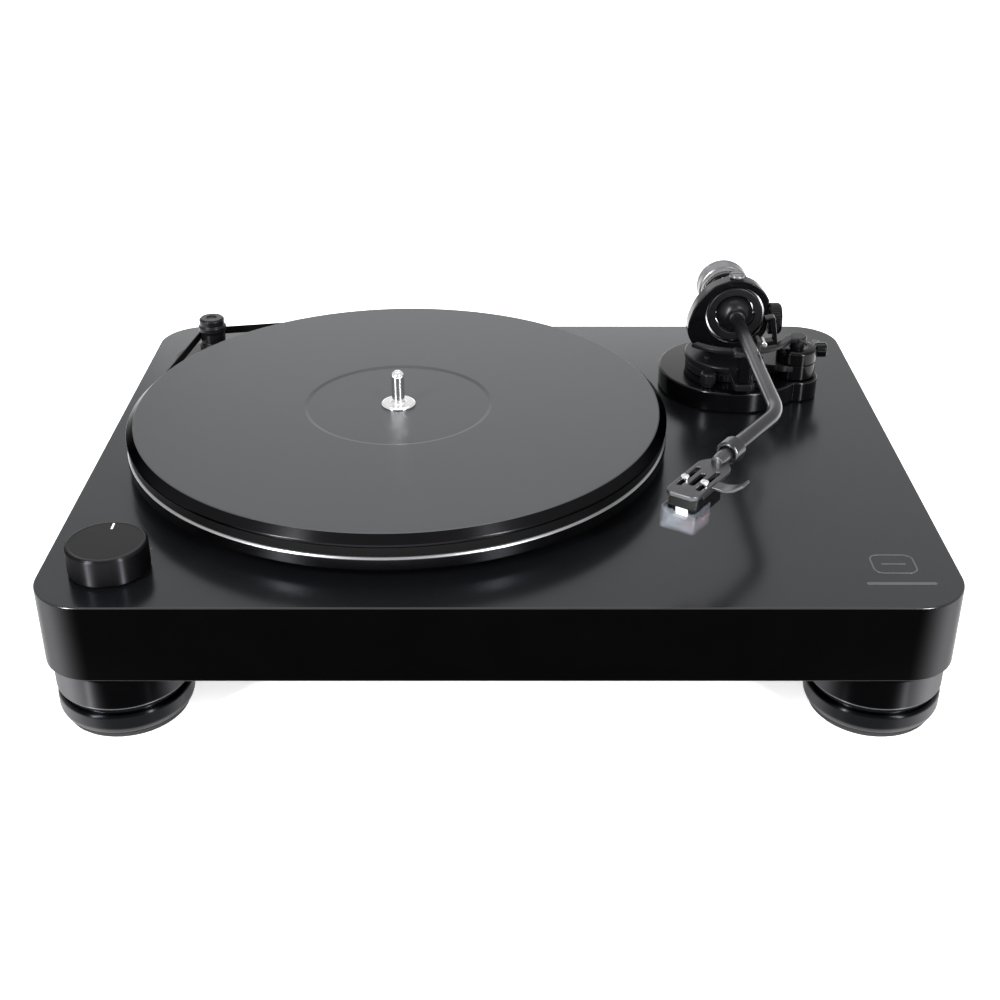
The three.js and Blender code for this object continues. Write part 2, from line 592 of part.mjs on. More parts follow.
function armRest() {
  const x = PIVOT.x + first.x * REST.along;
  const y = PIVOT.y + first.y * REST.along;
  const cradle = join(
    box(x - 4, x + 4, y - 4, y + 4, FLANGE.top + GAP, 121),
    box(x - 7, x + 7.6, y - 4, y + 4, 119, 122.4),
    box(x + 4.8, x + 7.6, y - 4, y + 4, 119, 130),
  );
  add("arm_rest", cradle, "black_plastic");
  const hinge = [x + CLIP.dx, y, CLIP.z];
  const hook = join(
    along(disc(1.7, -4, 4, 0, 0, 10), [0, 1, 0], [0, 0, 0]),
    box(-1.2, 1.4, -3, 3, 0, 8),
    box(-15.5, 1.4, -3, 3, 5.8, 8),
    box(-15.5, -13.8, -3, 3, 2.4, 8),
  );
  add("rest_clip", hook.rotateY(rad(CLIP.open)).translate(...hinge), "black_plastic");
}

plinth();
bottomCover();
feet();
bearing();
platter();
drive();
speedControl();
electronics();
armBase();
armColumn();
gimbalFrame();
antiskateDial();
armTube();
head();
counterweight();
cueing();
armRest();

export default root;
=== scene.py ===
"""Looks of the belt-drive record player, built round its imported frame. Lengths are in millimetres until `put`."""

import json
import math

import bmesh
import bpy
from mathutils import Matrix, Vector


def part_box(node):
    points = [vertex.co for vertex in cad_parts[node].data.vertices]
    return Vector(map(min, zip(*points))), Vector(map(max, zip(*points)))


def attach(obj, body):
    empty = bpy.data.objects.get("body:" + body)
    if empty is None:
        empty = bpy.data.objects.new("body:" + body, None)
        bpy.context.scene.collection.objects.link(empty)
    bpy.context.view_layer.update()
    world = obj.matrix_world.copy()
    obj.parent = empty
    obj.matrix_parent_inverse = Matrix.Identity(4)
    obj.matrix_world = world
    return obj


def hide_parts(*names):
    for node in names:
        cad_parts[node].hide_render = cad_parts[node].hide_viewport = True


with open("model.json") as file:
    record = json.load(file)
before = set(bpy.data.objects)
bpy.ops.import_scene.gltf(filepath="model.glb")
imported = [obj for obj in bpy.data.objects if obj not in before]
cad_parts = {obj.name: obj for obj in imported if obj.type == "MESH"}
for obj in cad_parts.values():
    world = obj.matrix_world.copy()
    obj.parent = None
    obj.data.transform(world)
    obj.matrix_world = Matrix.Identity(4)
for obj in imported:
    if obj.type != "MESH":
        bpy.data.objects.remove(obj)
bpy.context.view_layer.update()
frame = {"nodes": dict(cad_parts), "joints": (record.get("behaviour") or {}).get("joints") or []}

MM = 0.001
UP = Vector((0, 0, 1))
CORNERS = ("fl", "fr", "rl", "rr")


# ---------------------------------------------------------------- places taken from the frame
def span(node):
    """Lowest and highest corner of a node, in millimetres."""
    low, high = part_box(node)
    return [v / MM for v in low], [v / MM for v in high]


def middle(node):
    low, high = span(node)
    return [(a + b) / 2 for a, b in zip(low, high)]


def joint(name):
    return next(j for j in frame["joints"] if j["name"] == name)


def joint_at(name):
    return Vector([v / MM for v in joint(name)["pos_m"]])


PLINTH_LOW, PLINTH_HIGH = span("plinth")
TOP = PLINTH_HIGH[2]
PLATTER_AT = middle("platter")
PLATTER_LOW, PLATTER_HIGH = span("platter")
PULLEY_AT = middle("motor_pulley")
KNOB_AT = middle("speed_knob")
TURRET = middle("cue_housing")

# The arm runs from the pivot along FIRST to its bend, and from there along FORWARD to the stylus.
PIVOT = joint_at("arm_swing")
BACK = Vector(joint("weight_travel")["axis"]).normalized()
FIRST = -BACK
FORWARD = Vector(joint("collar_turn")["axis"]).normalized()
OUTWARD = UP.cross(FORWARD)
PIVOT_TO_BEND = 142
BEND = PIVOT + FIRST * PIVOT_TO_BEND
PIVOT_TO_REST = 46
REST = PIVOT + FIRST * PIVOT_TO_REST


# ---------------------------------------------------------------- placing
def aim(direction, at):
    """Matrix, in metres, whose Z runs along a direction from a point given in millimetres."""
    turn = Vector(direction).to_track_quat("Z", "Y").to_matrix().to_4x4()
    return Matrix.Translation(Vector(at) * MM) @ turn


def stand(x, y, z=0.0):
    """Matrix, in metres, that only moves a piece to a point given in millimetres."""
    return Matrix.Translation(Vector((x, y, z)) * MM)


def basis(x, y, z, at):
    """Matrix, in metres, with the given axes at a point given in millimetres."""
    place = Matrix((x, y, z)).transposed().to_4x4()
    place.translation = Vector(at) * MM
    return place


def around(centre, radius, degrees):
    """The point at a distance and bearing from a centre, seen from above."""
    angle = math.radians(degrees)
    return centre[0] + radius * math.cos(angle), centre[1] + radius * math.sin(angle)


HEAD = basis(FORWARD, OUTWARD, UP, BEND)
ARM_BACK = aim(BACK, PIVOT)
UPRIGHT = Matrix.Rotation(math.radians(90), 4, "X")


def put(obj, name, place, body, material, replaces=()):
    """Names an object whose mesh is in metres, sets it in place and makes it ride."""
    obj.name = name
    obj.data.name = name
    obj.matrix_world = place
    obj.data.materials.clear()
    obj.data.materials.append(material)
    for face in obj.data.polygons:
        face.use_smooth = True
    shade = obj.modifiers.new("even_normals", "WEIGHTED_NORMAL")
    shade.keep_sharp = True
    shade.weight = 80
    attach(obj, body)
    if replaces:
        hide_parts(*replaces)
    return obj


def new_object(mesh):
    obj = bpy.data.objects.new("piece", mesh)
    bpy.context.scene.collection.objects.link(obj)
    return obj


# ---------------------------------------------------------------- shapes
def soften(points, radius, closed=False, steps=4):
    """A profile with each corner rounded off."""
    count = len(points)
    out = []
    for i, here in enumerate(points):
        if not closed and i in (0, count - 1):
            out.append(here)
            continue
        before = Vector(points[i - 1])
        after = Vector(points[(i + 1) % count])
        at = Vector(here)
        a = before - at
        b = after - at
        reach = min(radius, a.length * 0.45, b.length * 0.45)
        nearly_straight = a.angle(b) > math.radians(176)
        if reach < 1e-4 or nearly_straight:
            out.append(here)
            continue
        start = at + a.normalized() * reach
        end = at + b.normalized() * reach
        for k in range(steps + 1):
            t = k / steps
            p = start * (1 - t) ** 2 + at * 2 * t * (1 - t) + end * t * t
            out.append((p.x, p.y))
    return out


def turned(profile, round_off, segments, closed=False, ribs=None):
    """A mesh turned round Z from (radius, height) points. ribs=(count, depth, low, high) cuts grips in the rim."""
    points = soften(profile, round_off, closed)
    rim = max(p[0] for p in points)
    bm = bmesh.new()
    rings = []
    for r, z in points:
        if r < 1e-6:
            rings.append([bm.verts.new((0, 0, z * MM))])
            continue
        ring = []
        ribbed = ribs and r > rim - 0.6 and ribs[2] <= z <= ribs[3]
        for k in range(segments):
            angle = 2 * math.pi * k / segments
            radius = r
            if ribbed:
                count, depth = ribs[:2]
                radius -= depth * (0.5 - 0.5 * math.cos(count * angle)) ** 2
            ring.append(bm.verts.new((radius * math.cos(angle) * MM, radius * math.sin(angle) * MM, z * MM)))
        rings.append(ring)
    pairs = list(zip(rings, rings[1:]))
    if closed:
        pairs.append((rings[-1], rings[0]))
    for low, high in pairs:
        for k in range(segments):
            n = (k + 1) % segments
            if len(low) == 1 and len(high) == 1:
                continue
            if len(low) == 1:
                bm.faces.new((low[0], high[n], high[k]))
            elif len(high) == 1:
                bm.faces.new((low[k], low[n], high[0]))
            else:
                bm.faces.new((low[k], low[n], high[n], high[k]))
    bmesh.ops.recalc_face_normals(bm, faces=bm.faces)
    return from_bmesh(bm)


def from_bmesh(bm):
    mesh = bpy.data.meshes.new("piece")
    bm.to_mesh(mesh)
    bm.free()
    return new_object(mesh)


def from_curve(curve):
    """The mesh of a filled or bevelled curve, welded, as a new object."""
    source = bpy.data.objects.new("outline", curve)
    bpy.context.scene.collection.objects.link(source)
    bpy.context.view_layer.update()
    mesh = bpy.data.meshes.new_from_object(source.evaluated_get(bpy.context.evaluated_depsgraph_get()))
    bpy.data.objects.remove(source)
    bm = bmesh.new()
    bm.from_mesh(mesh)
    bmesh.ops.remove_doubles(bm, verts=bm.verts, dist=2e-6)
    bmesh.ops.recalc_face_normals(bm, faces=bm.faces)
    bpy.data.meshes.remove(mesh)
    return from_bmesh(bm)


def slab(outlines, low, high, bevel=0.5, steps=3):
    """A plate with bevelled edges from a closed outline, with any further outlines cut out of it."""
    curve = bpy.data.curves.new("outline", "CURVE")
    curve.dimensions = "2D"
    curve.fill_mode = "BOTH"
    curve.extrude = ((high - low) / 2 - bevel) * MM
    curve.bevel_depth = bevel * MM
    curve.bevel_resolution = steps
    curve.offset = -bevel * MM
    for points in outlines:
        spline = curve.splines.new("POLY")
        spline.points.add(len(points) - 1)
        for target, (x, y) in zip(spline.points, points):
            target.co = (x * MM, y * MM, 0, 1)
        spline.use_cyclic_u = True
    obj = from_curve(curve)
    obj.data.transform(Matrix.Translation((0, 0, (low + high) / 2 * MM)))
    return obj


def tube(points, radius, resolution):
    """A round bar along points."""
    curve = bpy.data.curves.new("route", "CURVE")
    curve.dimensions = "3D"
    curve.bevel_depth = radius * MM
    curve.bevel_resolution = resolution
    curve.use_fill_caps = True
    spline = curve.splines.new("POLY")
    spline.points.add(len(points) - 1)
    for target, p in zip(spline.points, points):
        target.co = (*(Vector(p) * MM), 1)
    return from_curve(curve)


def circle(radius, x=0.0, y=0.0, steps=48, start=0.0, sweep=360.0):
    """Points on a circle, or on the arc that sweeps from a start angle in degrees."""
    full = abs(sweep) >= 360
    count = steps if full else steps + 1
    out = []
    for k in range(count):
        t = math.radians(start + sweep * k / steps)
        out.append((x + radius * math.cos(t), y + radius * math.sin(t)))
    return out


def rounded_box(x0, x1, y0, y1, radius, steps=12):
    """The outline of a rectangle with round corners."""
    out = []
    for cx, cy, start in ((x1, y1, 0), (x0, y1, 90), (x0, y0, 180), (x1, y0, 270)):
        sx = -1 if cx == x1 else 1
        sy = -1 if cy == y1 else 1
        out += circle(radius, cx + sx * radius, cy + sy * radius, steps, start, 90)
    return out


def block(x0, x1, y0, y1, z0, z1, bevel=0.5, radius=None):
    """A box with bevelled edges; radius rounds its upright edges further."""
    return slab([rounded_box(x0, x1, y0, y1, radius or bevel * 1.5, 5)], z0, z1, bevel)


def moved(obj, matrix):
    obj.data.transform(matrix)
    return obj


def cut(obj, *tools):
    """Subtracts the tools from an object's mesh, removes them and marks the sharp edges that are left."""
    for tool in tools:
        step = obj.modifiers.new("step", "BOOLEAN")
        step.operation = "DIFFERENCE"
        step.solver = "EXACT"
        step.object = tool
        bpy.context.view_layer.update()
        mesh = bpy.data.meshes.new_from_object(obj.evaluated_get(bpy.context.evaluated_depsgraph_get()))
        obj.modifiers.clear()
        obj.data = mesh
        bpy.data.objects.remove(tool)
    bm = bmesh.new()
    bm.from_mesh(obj.data)
    bmesh.ops.dissolve_limit(bm, angle_limit=math.radians(0.2), verts=bm.verts, edges=bm.edges)
    bm.to_mesh(obj.data)
    bm.free()
    obj.data.set_sharp_from_angle(angle=math.radians(40))


# ---------------------------------------------------------------- materials
CLOUDS = 40  # scale of the colour drift
RELIEF_DEPTH = 0.02
UNEVEN_GLOSS = 0.12
WAVE_PITCH = 0.314  # metres between the rings of a wave texture of scale 1
TURNING_MARKS = 0.7  # depth of the turning marks beside the fine grain


def look(name, colour, roughness, metallic=0.0, level=0.5, vary=0.15, grain=0.5, bump=0.1, rings=0.0, clear=0.0,
         alpha=1.0, sky=(1, 1, 1)):
    """A surface with slow colour drift, uneven gloss and fine relief.

    vary is the drift as a share of the colour, and grain the size of the relief in millimetres. rings adds turning
    marks of that pitch in millimetres. clear is how much light passes through. sky tints the sheen of a plain
    surface, and the grazing reflection of a metal.
    """
    material = bpy.data.materials.new(name)
    material.use_nodes = True
    nodes = material.node_tree.nodes
    links = material.node_tree.links
    shader = nodes["Principled BSDF"]
    shader.inputs["Metallic"].default_value = metallic
    shader.inputs["Specular IOR Level"].default_value = level
    shader.inputs["Specular Tint"].default_value = (*sky, 1)
    shader.inputs["Transmission Weight"].default_value = clear
    shader.inputs["Alpha"].default_value = alpha

    where = nodes.new("ShaderNodeTexCoord")
    drift = nodes.new("ShaderNodeTexNoise")
    drift.inputs["Scale"].default_value = CLOUDS
    drift.inputs["Detail"].default_value = 5
    links.new(where.outputs["Object"], drift.inputs["Vector"])
    colours = nodes.new("ShaderNodeMix")
    colours.data_type = "RGBA"
    colours.inputs["A"].default_value = (*[c * (1 - vary) for c in colour], 1)
    colours.inputs["B"].default_value = (*[min(1, c * (1 + vary)) for c in colour], 1)
    links.new(drift.outputs["Fac"], colours.inputs["Factor"])
    links.new(colours.outputs["Result"], shader.inputs["Base Color"])

    fine = nodes.new("ShaderNodeTexNoise")
    fine.inputs["Scale"].default_value = 1 / (grain * MM)
    fine.inputs["Detail"].default_value = 3
    links.new(where.outputs["Object"], fine.inputs["Vector"])
    relief = fine.outputs["Fac"]
    if rings:
        marks = nodes.new("ShaderNodeTexWave")
        marks.wave_type = "RINGS"
        marks.rings_direction = "Z"
        marks.inputs["Scale"].default_value = WAVE_PITCH / (rings * MM)
        marks.inputs["Distortion"].default_value = 1.2
        marks.inputs["Detail"].default_value = 2
        links.new(where.outputs["Object"], marks.inputs["Vector"])
        both = nodes.new("ShaderNodeMath")
        both.operation = "MULTIPLY_ADD"
        both.inputs[1].default_value = TURNING_MARKS
        links.new(marks.outputs["Fac"], both.inputs[0])
        links.new(relief, both.inputs[2])
        relief = both.outputs["Value"]
    gloss = nodes.new("ShaderNodeMapRange")
    gloss.inputs["To Min"].default_value = roughness * (1 - UNEVEN_GLOSS)
    gloss.inputs["To Max"].default_value = min(1, roughness * (1 + UNEVEN_GLOSS))
    links.new(relief, gloss.inputs["Value"])
    links.new(gloss.outputs["Result"], shader.inputs["Roughness"])
    if bump:
        raised = nodes.new("ShaderNodeBump")
        raised.inputs["Strength"].default_value = bump
        raised.inputs["Distance"].default_value = RELIEF_DEPTH * MM
        links.new(relief, raised.inputs["Height"])
        links.new(raised.outputs["Normal"], shader.inputs["Normal"])
    return material


def edge_gloss(name, face, rim, roughness, begin=0.2, end=0.62, tint=1.0, **more):
    """Black lacquer over metal: the face colour seen straight on, and the rim colour where the surface turns away.

    begin and end say how far it has turned when the rim colour starts and is full. tint dulls the grazing shine.
    """
    material = look(name, face, roughness, metallic=1.0, sky=(tint, tint, tint), **more)
    nodes = material.node_tree.nodes
    links = material.node_tree.links
    shader = nodes["Principled BSDF"]
    drift = shader.inputs["Base Color"].links[0].from_socket
    facing = nodes.new("ShaderNodeLayerWeight")
    facing.inputs["Blend"].default_value = 0.5
    rise = nodes.new("ShaderNodeMapRange")
    rise.interpolation_type = "SMOOTHSTEP"
    rise.inputs["From Min"].default_value = begin
    rise.inputs["From Max"].default_value = end
    links.new(facing.outputs["Facing"], rise.inputs["Value"])
    gloss = nodes.new("ShaderNodeMix")
    gloss.data_type = "RGBA"
    gloss.inputs["B"].default_value = (*rim, 1)
    links.new(rise.outputs["Result"], gloss.inputs["Factor"])
    links.new(drift, gloss.inputs["A"])
    links.new(gloss.outputs["Result"], shader.inputs["Base Color"])
    return material


def brush_round(material, amount):
    """Gives a turned surface the long highlights that its fine circular grooves make."""
    quarter_turn = 0.25
    nodes = material.node_tree.nodes
    along = nodes.new("ShaderNodeTangent")
    along.direction_type = "RADIAL"
    along.axis = "Z"
    shader = nodes["Principled BSDF"]
    shader.inputs["Anisotropic"].default_value = amount
    shader.inputs["Anisotropic Rotation"].default_value = quarter_turn
    material.node_tree.links.new(along.outputs["Tangent"], shader.inputs["Tangent"])


SATIN_TOP = look("satin_lacquer_top", (0.0028, 0.003, 0.0036), 0.2, level=0.54, vary=0.15, grain=0.35, bump=0.04,
                 sky=(0.9, 0.95, 1.0))
# Painted shade: the plinth's sides get a darker, nearly unreflective copy of the top's lacquer, with a brighter grazing
# rim.
SATIN_SIDE_PAINTED_SHADE = edge_gloss("satin_lacquer_side_painted_shade", (0.0009, 0.0009, 0.0009), (0.06, 0.06, 0.063), 0.26, tint=0.5, vary=0.2,
                        bump=0.03)
PLATTER_LOOK = look("platter_matt", (0.0095, 0.0102, 0.011), 0.36, level=0.76, vary=0.06, grain=0.3, bump=0.06,
                    rings=0.5, sky=(0.92, 0.97, 1.0))
# Painted shade: darker copies of the platter's plastic for the rim's edge and its lower side.
PLATTER_EDGE_PAINTED_SHADE = edge_gloss("platter_edge_painted_shade", (0.012, 0.012, 0.013), (0.02, 0.02, 0.021), 0.22, 0.3, 0.9, tint=0.4,
                          vary=0.2, bump=0.03)
PLATTER_SIDE_PAINTED_SHADE = edge_gloss("platter_side_painted_shade", (0.022, 0.022, 0.024), (0.05, 0.05, 0.052), 0.25, 0.3, 0.8, tint=0.5,
                          vary=0.2, bump=0.03)
GLOSS = look("gloss_black", (0.0012, 0.0012, 0.0015), 0.14, level=0.17, vary=0.2, bump=0.03)
FOOT_GLOSS = edge_gloss("foot_gloss", (0.0012, 0.0012, 0.0014), (0.12, 0.12, 0.127), 0.34, 0.22, 0.6, tint=0.6,
                        vary=0.2, bump=0.03)
FOOT_RING = edge_gloss("foot_ring", (0.006, 0.0063, 0.007), (0.08, 0.08, 0.085), 0.26, 0.2, 0.7, tint=0.6, vary=0.3,
                       bump=0.03)
KNOB_GLOSS = edge_gloss("knob_gloss", (0.017, 0.017, 0.019), (0.03, 0.03, 0.03), 0.4, 0.4, 0.9, tint=0.5, vary=0.2,
                        bump=0.02)
# Painted shade: a darker, duller copy of the lacquer for the knob's top.
KNOB_TOP_PAINTED_SHADE = look("knob_top_painted_shade", (0.002, 0.002, 0.0024), 0.26, level=0.2, vary=0.15, grain=0.35, rings=0.4, bump=0.05)
BRUSHED = ((KNOB_GLOSS, 1.0), (FOOT_GLOSS, 1.0), (FOOT_RING, 0.9), (PLATTER_SIDE_PAINTED_SHADE, 0.2), (PLATTER_EDGE_PAINTED_SHADE, 0.8))
for turned_look, amount in BRUSHED:
    brush_round(turned_look, amount)
# Painted highlight: a bright metal band on the ledge under the belt of the plastic platter.
LIP_PAINTED_HIGHLIGHT = look("platter_lip_painted_highlight", (0.3, 0.3, 0.31), 0.25, metallic=0.9, vary=0.05, rings=0.5, bump=0.05)
PLASTIC = look("moulded_black", (0.007, 0.007, 0.008), 0.36, level=0.35, vary=0.2, grain=0.4, bump=0.25)
BELT = look("belt_rubber", (0.0015, 0.0015, 0.0017), 0.5, level=0.1, vary=0.2, grain=0.5, bump=0.2)
RUBBER = look("rubber", (0.012, 0.012, 0.012), 0.78, level=0.3, vary=0.25, grain=0.5, bump=0.4)
STEEL = look("turned_steel", (0.72, 0.72, 0.73), 0.18, metallic=1.0, vary=0.05, rings=0.3, bump=0.1)
BRIGHT = look("bright_steel", (0.86, 0.86, 0.87), 0.12, metallic=1.0, vary=0.04, rings=0.25, bump=0.06)
GUNMETAL = look("gunmetal", (0.058, 0.058, 0.062), 0.22, metallic=0.95, vary=0.08, grain=0.3, bump=0.12)
HEAD_METAL = look("headshell_metal", (0.08, 0.08, 0.084), 0.28, metallic=0.9, vary=0.06, grain=0.3, bump=0.15)
WEIGHT_METAL = look("weight_metal", (0.15, 0.15, 0.155), 0.3, metallic=0.9, vary=0.08, rings=0.35, bump=0.12)
ANODISED = look("black_anodised", (0.007, 0.007, 0.008), 0.3, metallic=0.5, level=0.3, vary=0.15, grain=0.3, bump=0.12)
BRASS = look("brass", (0.72, 0.52, 0.24), 0.28, metallic=1.0, vary=0.08, rings=0.4, bump=0.1)
GOLD = look("gold_plate", (0.9, 0.68, 0.32), 0.18, metallic=1.0, vary=0.04, bump=0.05)
CLEAR = look("clear_guard", (0.72, 0.82, 0.95), 0.06, level=0.7, clear=0.9, vary=0.05, bump=0.02, alpha=0.26)
WHITE = look("white_print", (0.62, 0.62, 0.62), 0.5, vary=0.08, bump=0.1)
RED = look("red_insulator", (0.45, 0.02, 0.02), 0.4, vary=0.1, bump=0.1)
BOARD = look("board_green", (0.015, 0.10, 0.045), 0.5, vary=0.25, bump=0.3)
BADGE = look("badge_plate", (0.075, 0.077, 0.082), 0.34, metallic=0.5, vary=0.1, grain=0.3, bump=0.2)
LEAD_COLOURS = {
    "red": (0.5, 0.02, 0.02), "white": (0.7, 0.7, 0.7), "green": (0.02, 0.25, 0.06), "blue": (0.02, 0.05, 0.4),
}
LEADS = [look("lead_" + name, colour, 0.5, vary=0.08, bump=0.05) for name, colour in LEAD_COLOURS.items()]


def finish_node(node, material):
    """Gives a node that is carried over from the CAD its own look."""
    data = frame["nodes"][node].data
    data.materials.clear()
    data.materials.append(material)


# ---------------------------------------------------------------- plinth
PLINTH_CORNER = 28
COVER_INSET = 16
COVER_SEAT = 41.1
FOOT_ROOM = (156, 106)
WALL = 6
CEILING = 68
BEARING_HOLE = 13.4
COLUMN_HOLE = 15.6
MOTOR_HOLE = 19.5
REAR_BOX = {"x0": 38, "x1": 138, "z0": 44, "z1": 66, "face": 165}


def cutter(outline, low, high):
    """A sharp-edged plate to cut with."""
    return slab([outline], low, high, 0.1, 0)


def plinth():
    x, y, _ = PLINTH_HIGH
    bottom = PLINTH_LOW[2]
    body = slab([rounded_box(-x, x, -y, y, PLINTH_CORNER, 24)], bottom, TOP, 0.9, 3)
    inset_x, inset_y = x - COVER_INSET, y - COVER_INSET
    seat = cutter(cross(inset_x, inset_y, *FOOT_ROOM), bottom - 2, COVER_SEAT)
    hollow = cutter(
        cross(inset_x - WALL, inset_y - WALL, FOOT_ROOM[0] - WALL, FOOT_ROOM[1] - WALL), bottom - 3, CEILING
    )
    window = cutter(rounded_box(REAR_BOX["x0"], REAR_BOX["x1"], 140, y + 6, 0.6, 2), REAR_BOX["z0"], REAR_BOX["z1"])
    holes = ((PLATTER_AT, BEARING_HOLE), (PIVOT, COLUMN_HOLE), (PULLEY_AT, MOTOR_HOLE))
    drills = [cutter(circle(r, at[0], at[1], 64), 52, TOP + 4) for at, r in holes]
    cut(body, seat, hollow, window, *drills)
    piece = put(body, "plinth_case", Matrix(), "chassis", SATIN_TOP, ["plinth"])
    # Faces off the top take the darker copy of the lacquer: painted shade on the sides.
    piece.data.materials.append(SATIN_SIDE_PAINTED_SHADE)
    for face in piece.data.polygons:
        on_top = face.normal.z >= 0.35 and face.center.z >= (TOP - 2) * MM
        face.material_index = 0 if on_top else 1


def cross(hx, hy, cx, cy):
    """A rectangle with its four corners left out for the feet."""
    return [
        (-cx, -hy), (cx, -hy), (cx, -cy), (hx, -cy), (hx, cy), (cx, cy),
        (cx, hy), (-cx, hy), (-cx, cy), (-hx, cy), (-hx, -cy), (-cx, -cy),
    ]


def bottom_cover():
    low, high = span("bottom_cover")
    gap = 0.3
    half_slot, slots_each_side, slot_pitch = 1.3, 9, 7
    vents = []
    for side in (-1, 1):
        for k in range(slots_each_side):
            x = side * 60 + (k - slots_each_side // 2) * slot_pitch
            vents.append(rounded_box(x - half_slot, x + half_slot, -122, -92, 1.2, 5))
    outline = cross(high[0], high[1], FOOT_ROOM[0] - gap, FOOT_ROOM[1] - gap)
    sheet = slab([outline] + vents, low[2], high[2], 0.4, 2)
    put(sheet, "bottom_cover_sheet", Matrix(), "chassis", PLASTIC, ["bottom_cover"])
    for place in CORNERS:
        node = "cover_screw_" + place
        x, y, _ = middle(node)
        z = span(node)[0][2]
        head = turned([(0, z), (2.6, z), (3, z + 0.6), (3, z + 1.6), (1.5, z + 1.6), (1.5, 51), (0, 51.6)], 0.25, 32)
        slots = [
            moved(block(-1.9, 1.9, -0.4, 0.4, z - 1, z + 0.9, 0.05), Matrix.Rotation(angle, 4, "Z"))
            for angle in (0.4, 0.4 + math.pi / 2)
        ]
        cut(head, *slots)
        put(head, node + "_cross", stand(x, y), "chassis", ANODISED, [node])


def badge():
    """A plain outline, a line inside it and a bar under it, raised a little from the plinth's top."""
    x, y = 194, -136
    rim = [rounded_box(-11, 11, -9, 9, 5, 10), rounded_box(-10.1, 10.1, -8.1, 8.1, 4.1, 10)]
    line = [rounded_box(-6, 6, -0.5, 0.5, 0.45, 6)]
    bar = [rounded_box(-17, 17, -1.1, 1.1, 1.0, 8)]
    for name, outlines, mark_y in (("badge_rim", rim, y), ("badge_line", line, y), ("badge_bar", bar, y - 18)):
        mark = slab(outlines, TOP - 0.2, TOP + 0.15, 0.08, 2)
        put(mark, name, stand(x, mark_y), "chassis", BADGE)


def feet():
    for place in CORNERS:
        body = "foot_" + place
        low, high = span("foot_cap_" + place)
        x, y, _ = middle("foot_cap_" + place)
        r = (high[0] - low[0]) / 2
        cap = turned([
            (0, 18.5), (r - 1.2, 18.5), (r, 19.7), (r, 36.4), (r - 1.2, 37.7), (5.5, 37.7), (4, 37.7), (4, 48.5),
            (3.2, 49.5), (0, 49.5),
        ], 0.7, 160)
        put(cap, "foot_cap_ring_" + place, stand(x, y), body, FOOT_GLOSS, ["foot_cap_" + place])
        base = turned([
            (0, 3.3), (r - 3, 3.3), (r - 1, 4.8), (r, 7.5), (r, 14.2), (r - 1.2, 15.5), (r - 3, 15.5), (r - 3, 18.2),
            (0, 18.2),
        ], 0.8, 160)
        put(base, "foot_base_ring_" + place, stand(x, y), body, FOOT_RING, ["foot_base_" + place])
        pad = turned([
            (0, 0), (8, 0), (9, 0.5), (20, 0.5), (21, 0), (r - 4, 0), (r - 3, 1), (r - 3, 3), (0, 3),
        ], 0.35, 128)
        put(pad, "foot_pad_disc_" + place, stand(x, y), body, RUBBER, ["foot_pad_" + place])


# ---------------------------------------------------------------- platter and drive
GROOVE_R = 149.4
LIP_LOW, LIP_HIGH = 91.5, 92.72  # the ledge under the belt, whose upward faces carry a painted highlight
RIM_FROM = 100  # beyond this radius a face below the top takes one of the rim's painted bands: painted shade on the edge and side, painted highlight on the lip
BELT_HEIGHTS = (93, 97.8)
BELT_ON_PLATTER = (149.9, 150.7)  # inner and outer radius
BELT_ON_PULLEY = (8.0, 8.8)


def platter():
    r = (PLATTER_HIGH[0] - PLATTER_LOW[0]) / 2
    low, top = PLATTER_LOW[2], PLATTER_HIGH[2]
    disc = turned([
        (16.4, low), (60, low), (60, low + 1.2), (136, low + 1.2), (136, low), (r - 2.5, low), (r, low + 2.5),
        (r, 91.6), (r - 0.9, 92.6), (GROOVE_R, 92.7), (GROOVE_R, 98.1), (r - 0.5, 98.1), (r, 98.5), (r, 99.9),
        (r - 4.5, top), (53, top), (51, top - 0.6), (8.4, top - 0.6), (8.4, 88.4), (16.4, 88.4),
    ], 0.45, 256, closed=True)
    at = stand(PLATTER_AT[0], PLATTER_AT[1])
    piece = put(disc, "platter_disc", at, "platter", PLATTER_LOOK, ["platter"])
    for material in (PLATTER_SIDE_PAINTED_SHADE, LIP_PAINTED_HIGHLIGHT, PLATTER_EDGE_PAINTED_SHADE):
        piece.data.materials.append(material)
    # Rim bands: painted shade on the edge and side, a painted highlight on the lip.
    side, lip, edge = 1, 2, 3
    for face in piece.data.polygons:
        height = face.center.z / MM
        if height >= top - 0.9 or math.hypot(face.center.x, face.center.y) <= RIM_FROM * MM:
            continue
        if height > LIP_HIGH:
            face.material_index = edge
        elif height > LIP_LOW and face.normal.z > 0.1:
            face.material_index = lip
        else:
            face.material_index = side
    tip = span("spindle")[1][2]
    bush = top - 0.55
    pin = turned([
        (0, 52), (4.8, 52), (4.8, 84), (16, 84), (16, 88), (8, 88), (8, bush), (9.8, bush), (9.8, bush + 0.75),
        (9.0, bush + 1.35), (4.4, bush + 1.35), (3.62, bush + 2.15), (3.62, tip - 3.5), (3.2, tip - 1.8),
        (1.9, tip - 0.4), (0, tip),
    ], 0.5, 96)
    put(pin, "spindle_pin", at, "platter", BRIGHT, ["spindle"])
    finish_node("bearing_housing", BRASS)
    finish_node("thrust_ball", STEEL)


def belt_outline(wheel, wheel_r, pulley, pulley_r):
    """The closed outline of a belt laid round two circles."""
    dx, dy = pulley[0] - wheel[0], pulley[1] - wheel[1]
    lean = math.acos((wheel_r - pulley_r) / math.hypot(dx, dy))
    heading = math.atan2(dy, dx)
    far = circle(wheel_r, wheel[0], wheel[1], 220, math.degrees(heading + lean), math.degrees(2 * (math.pi - lean)))
    near = circle(pulley_r, pulley[0], pulley[1], 28, math.degrees(heading - lean), math.degrees(2 * lean))
    return far + near


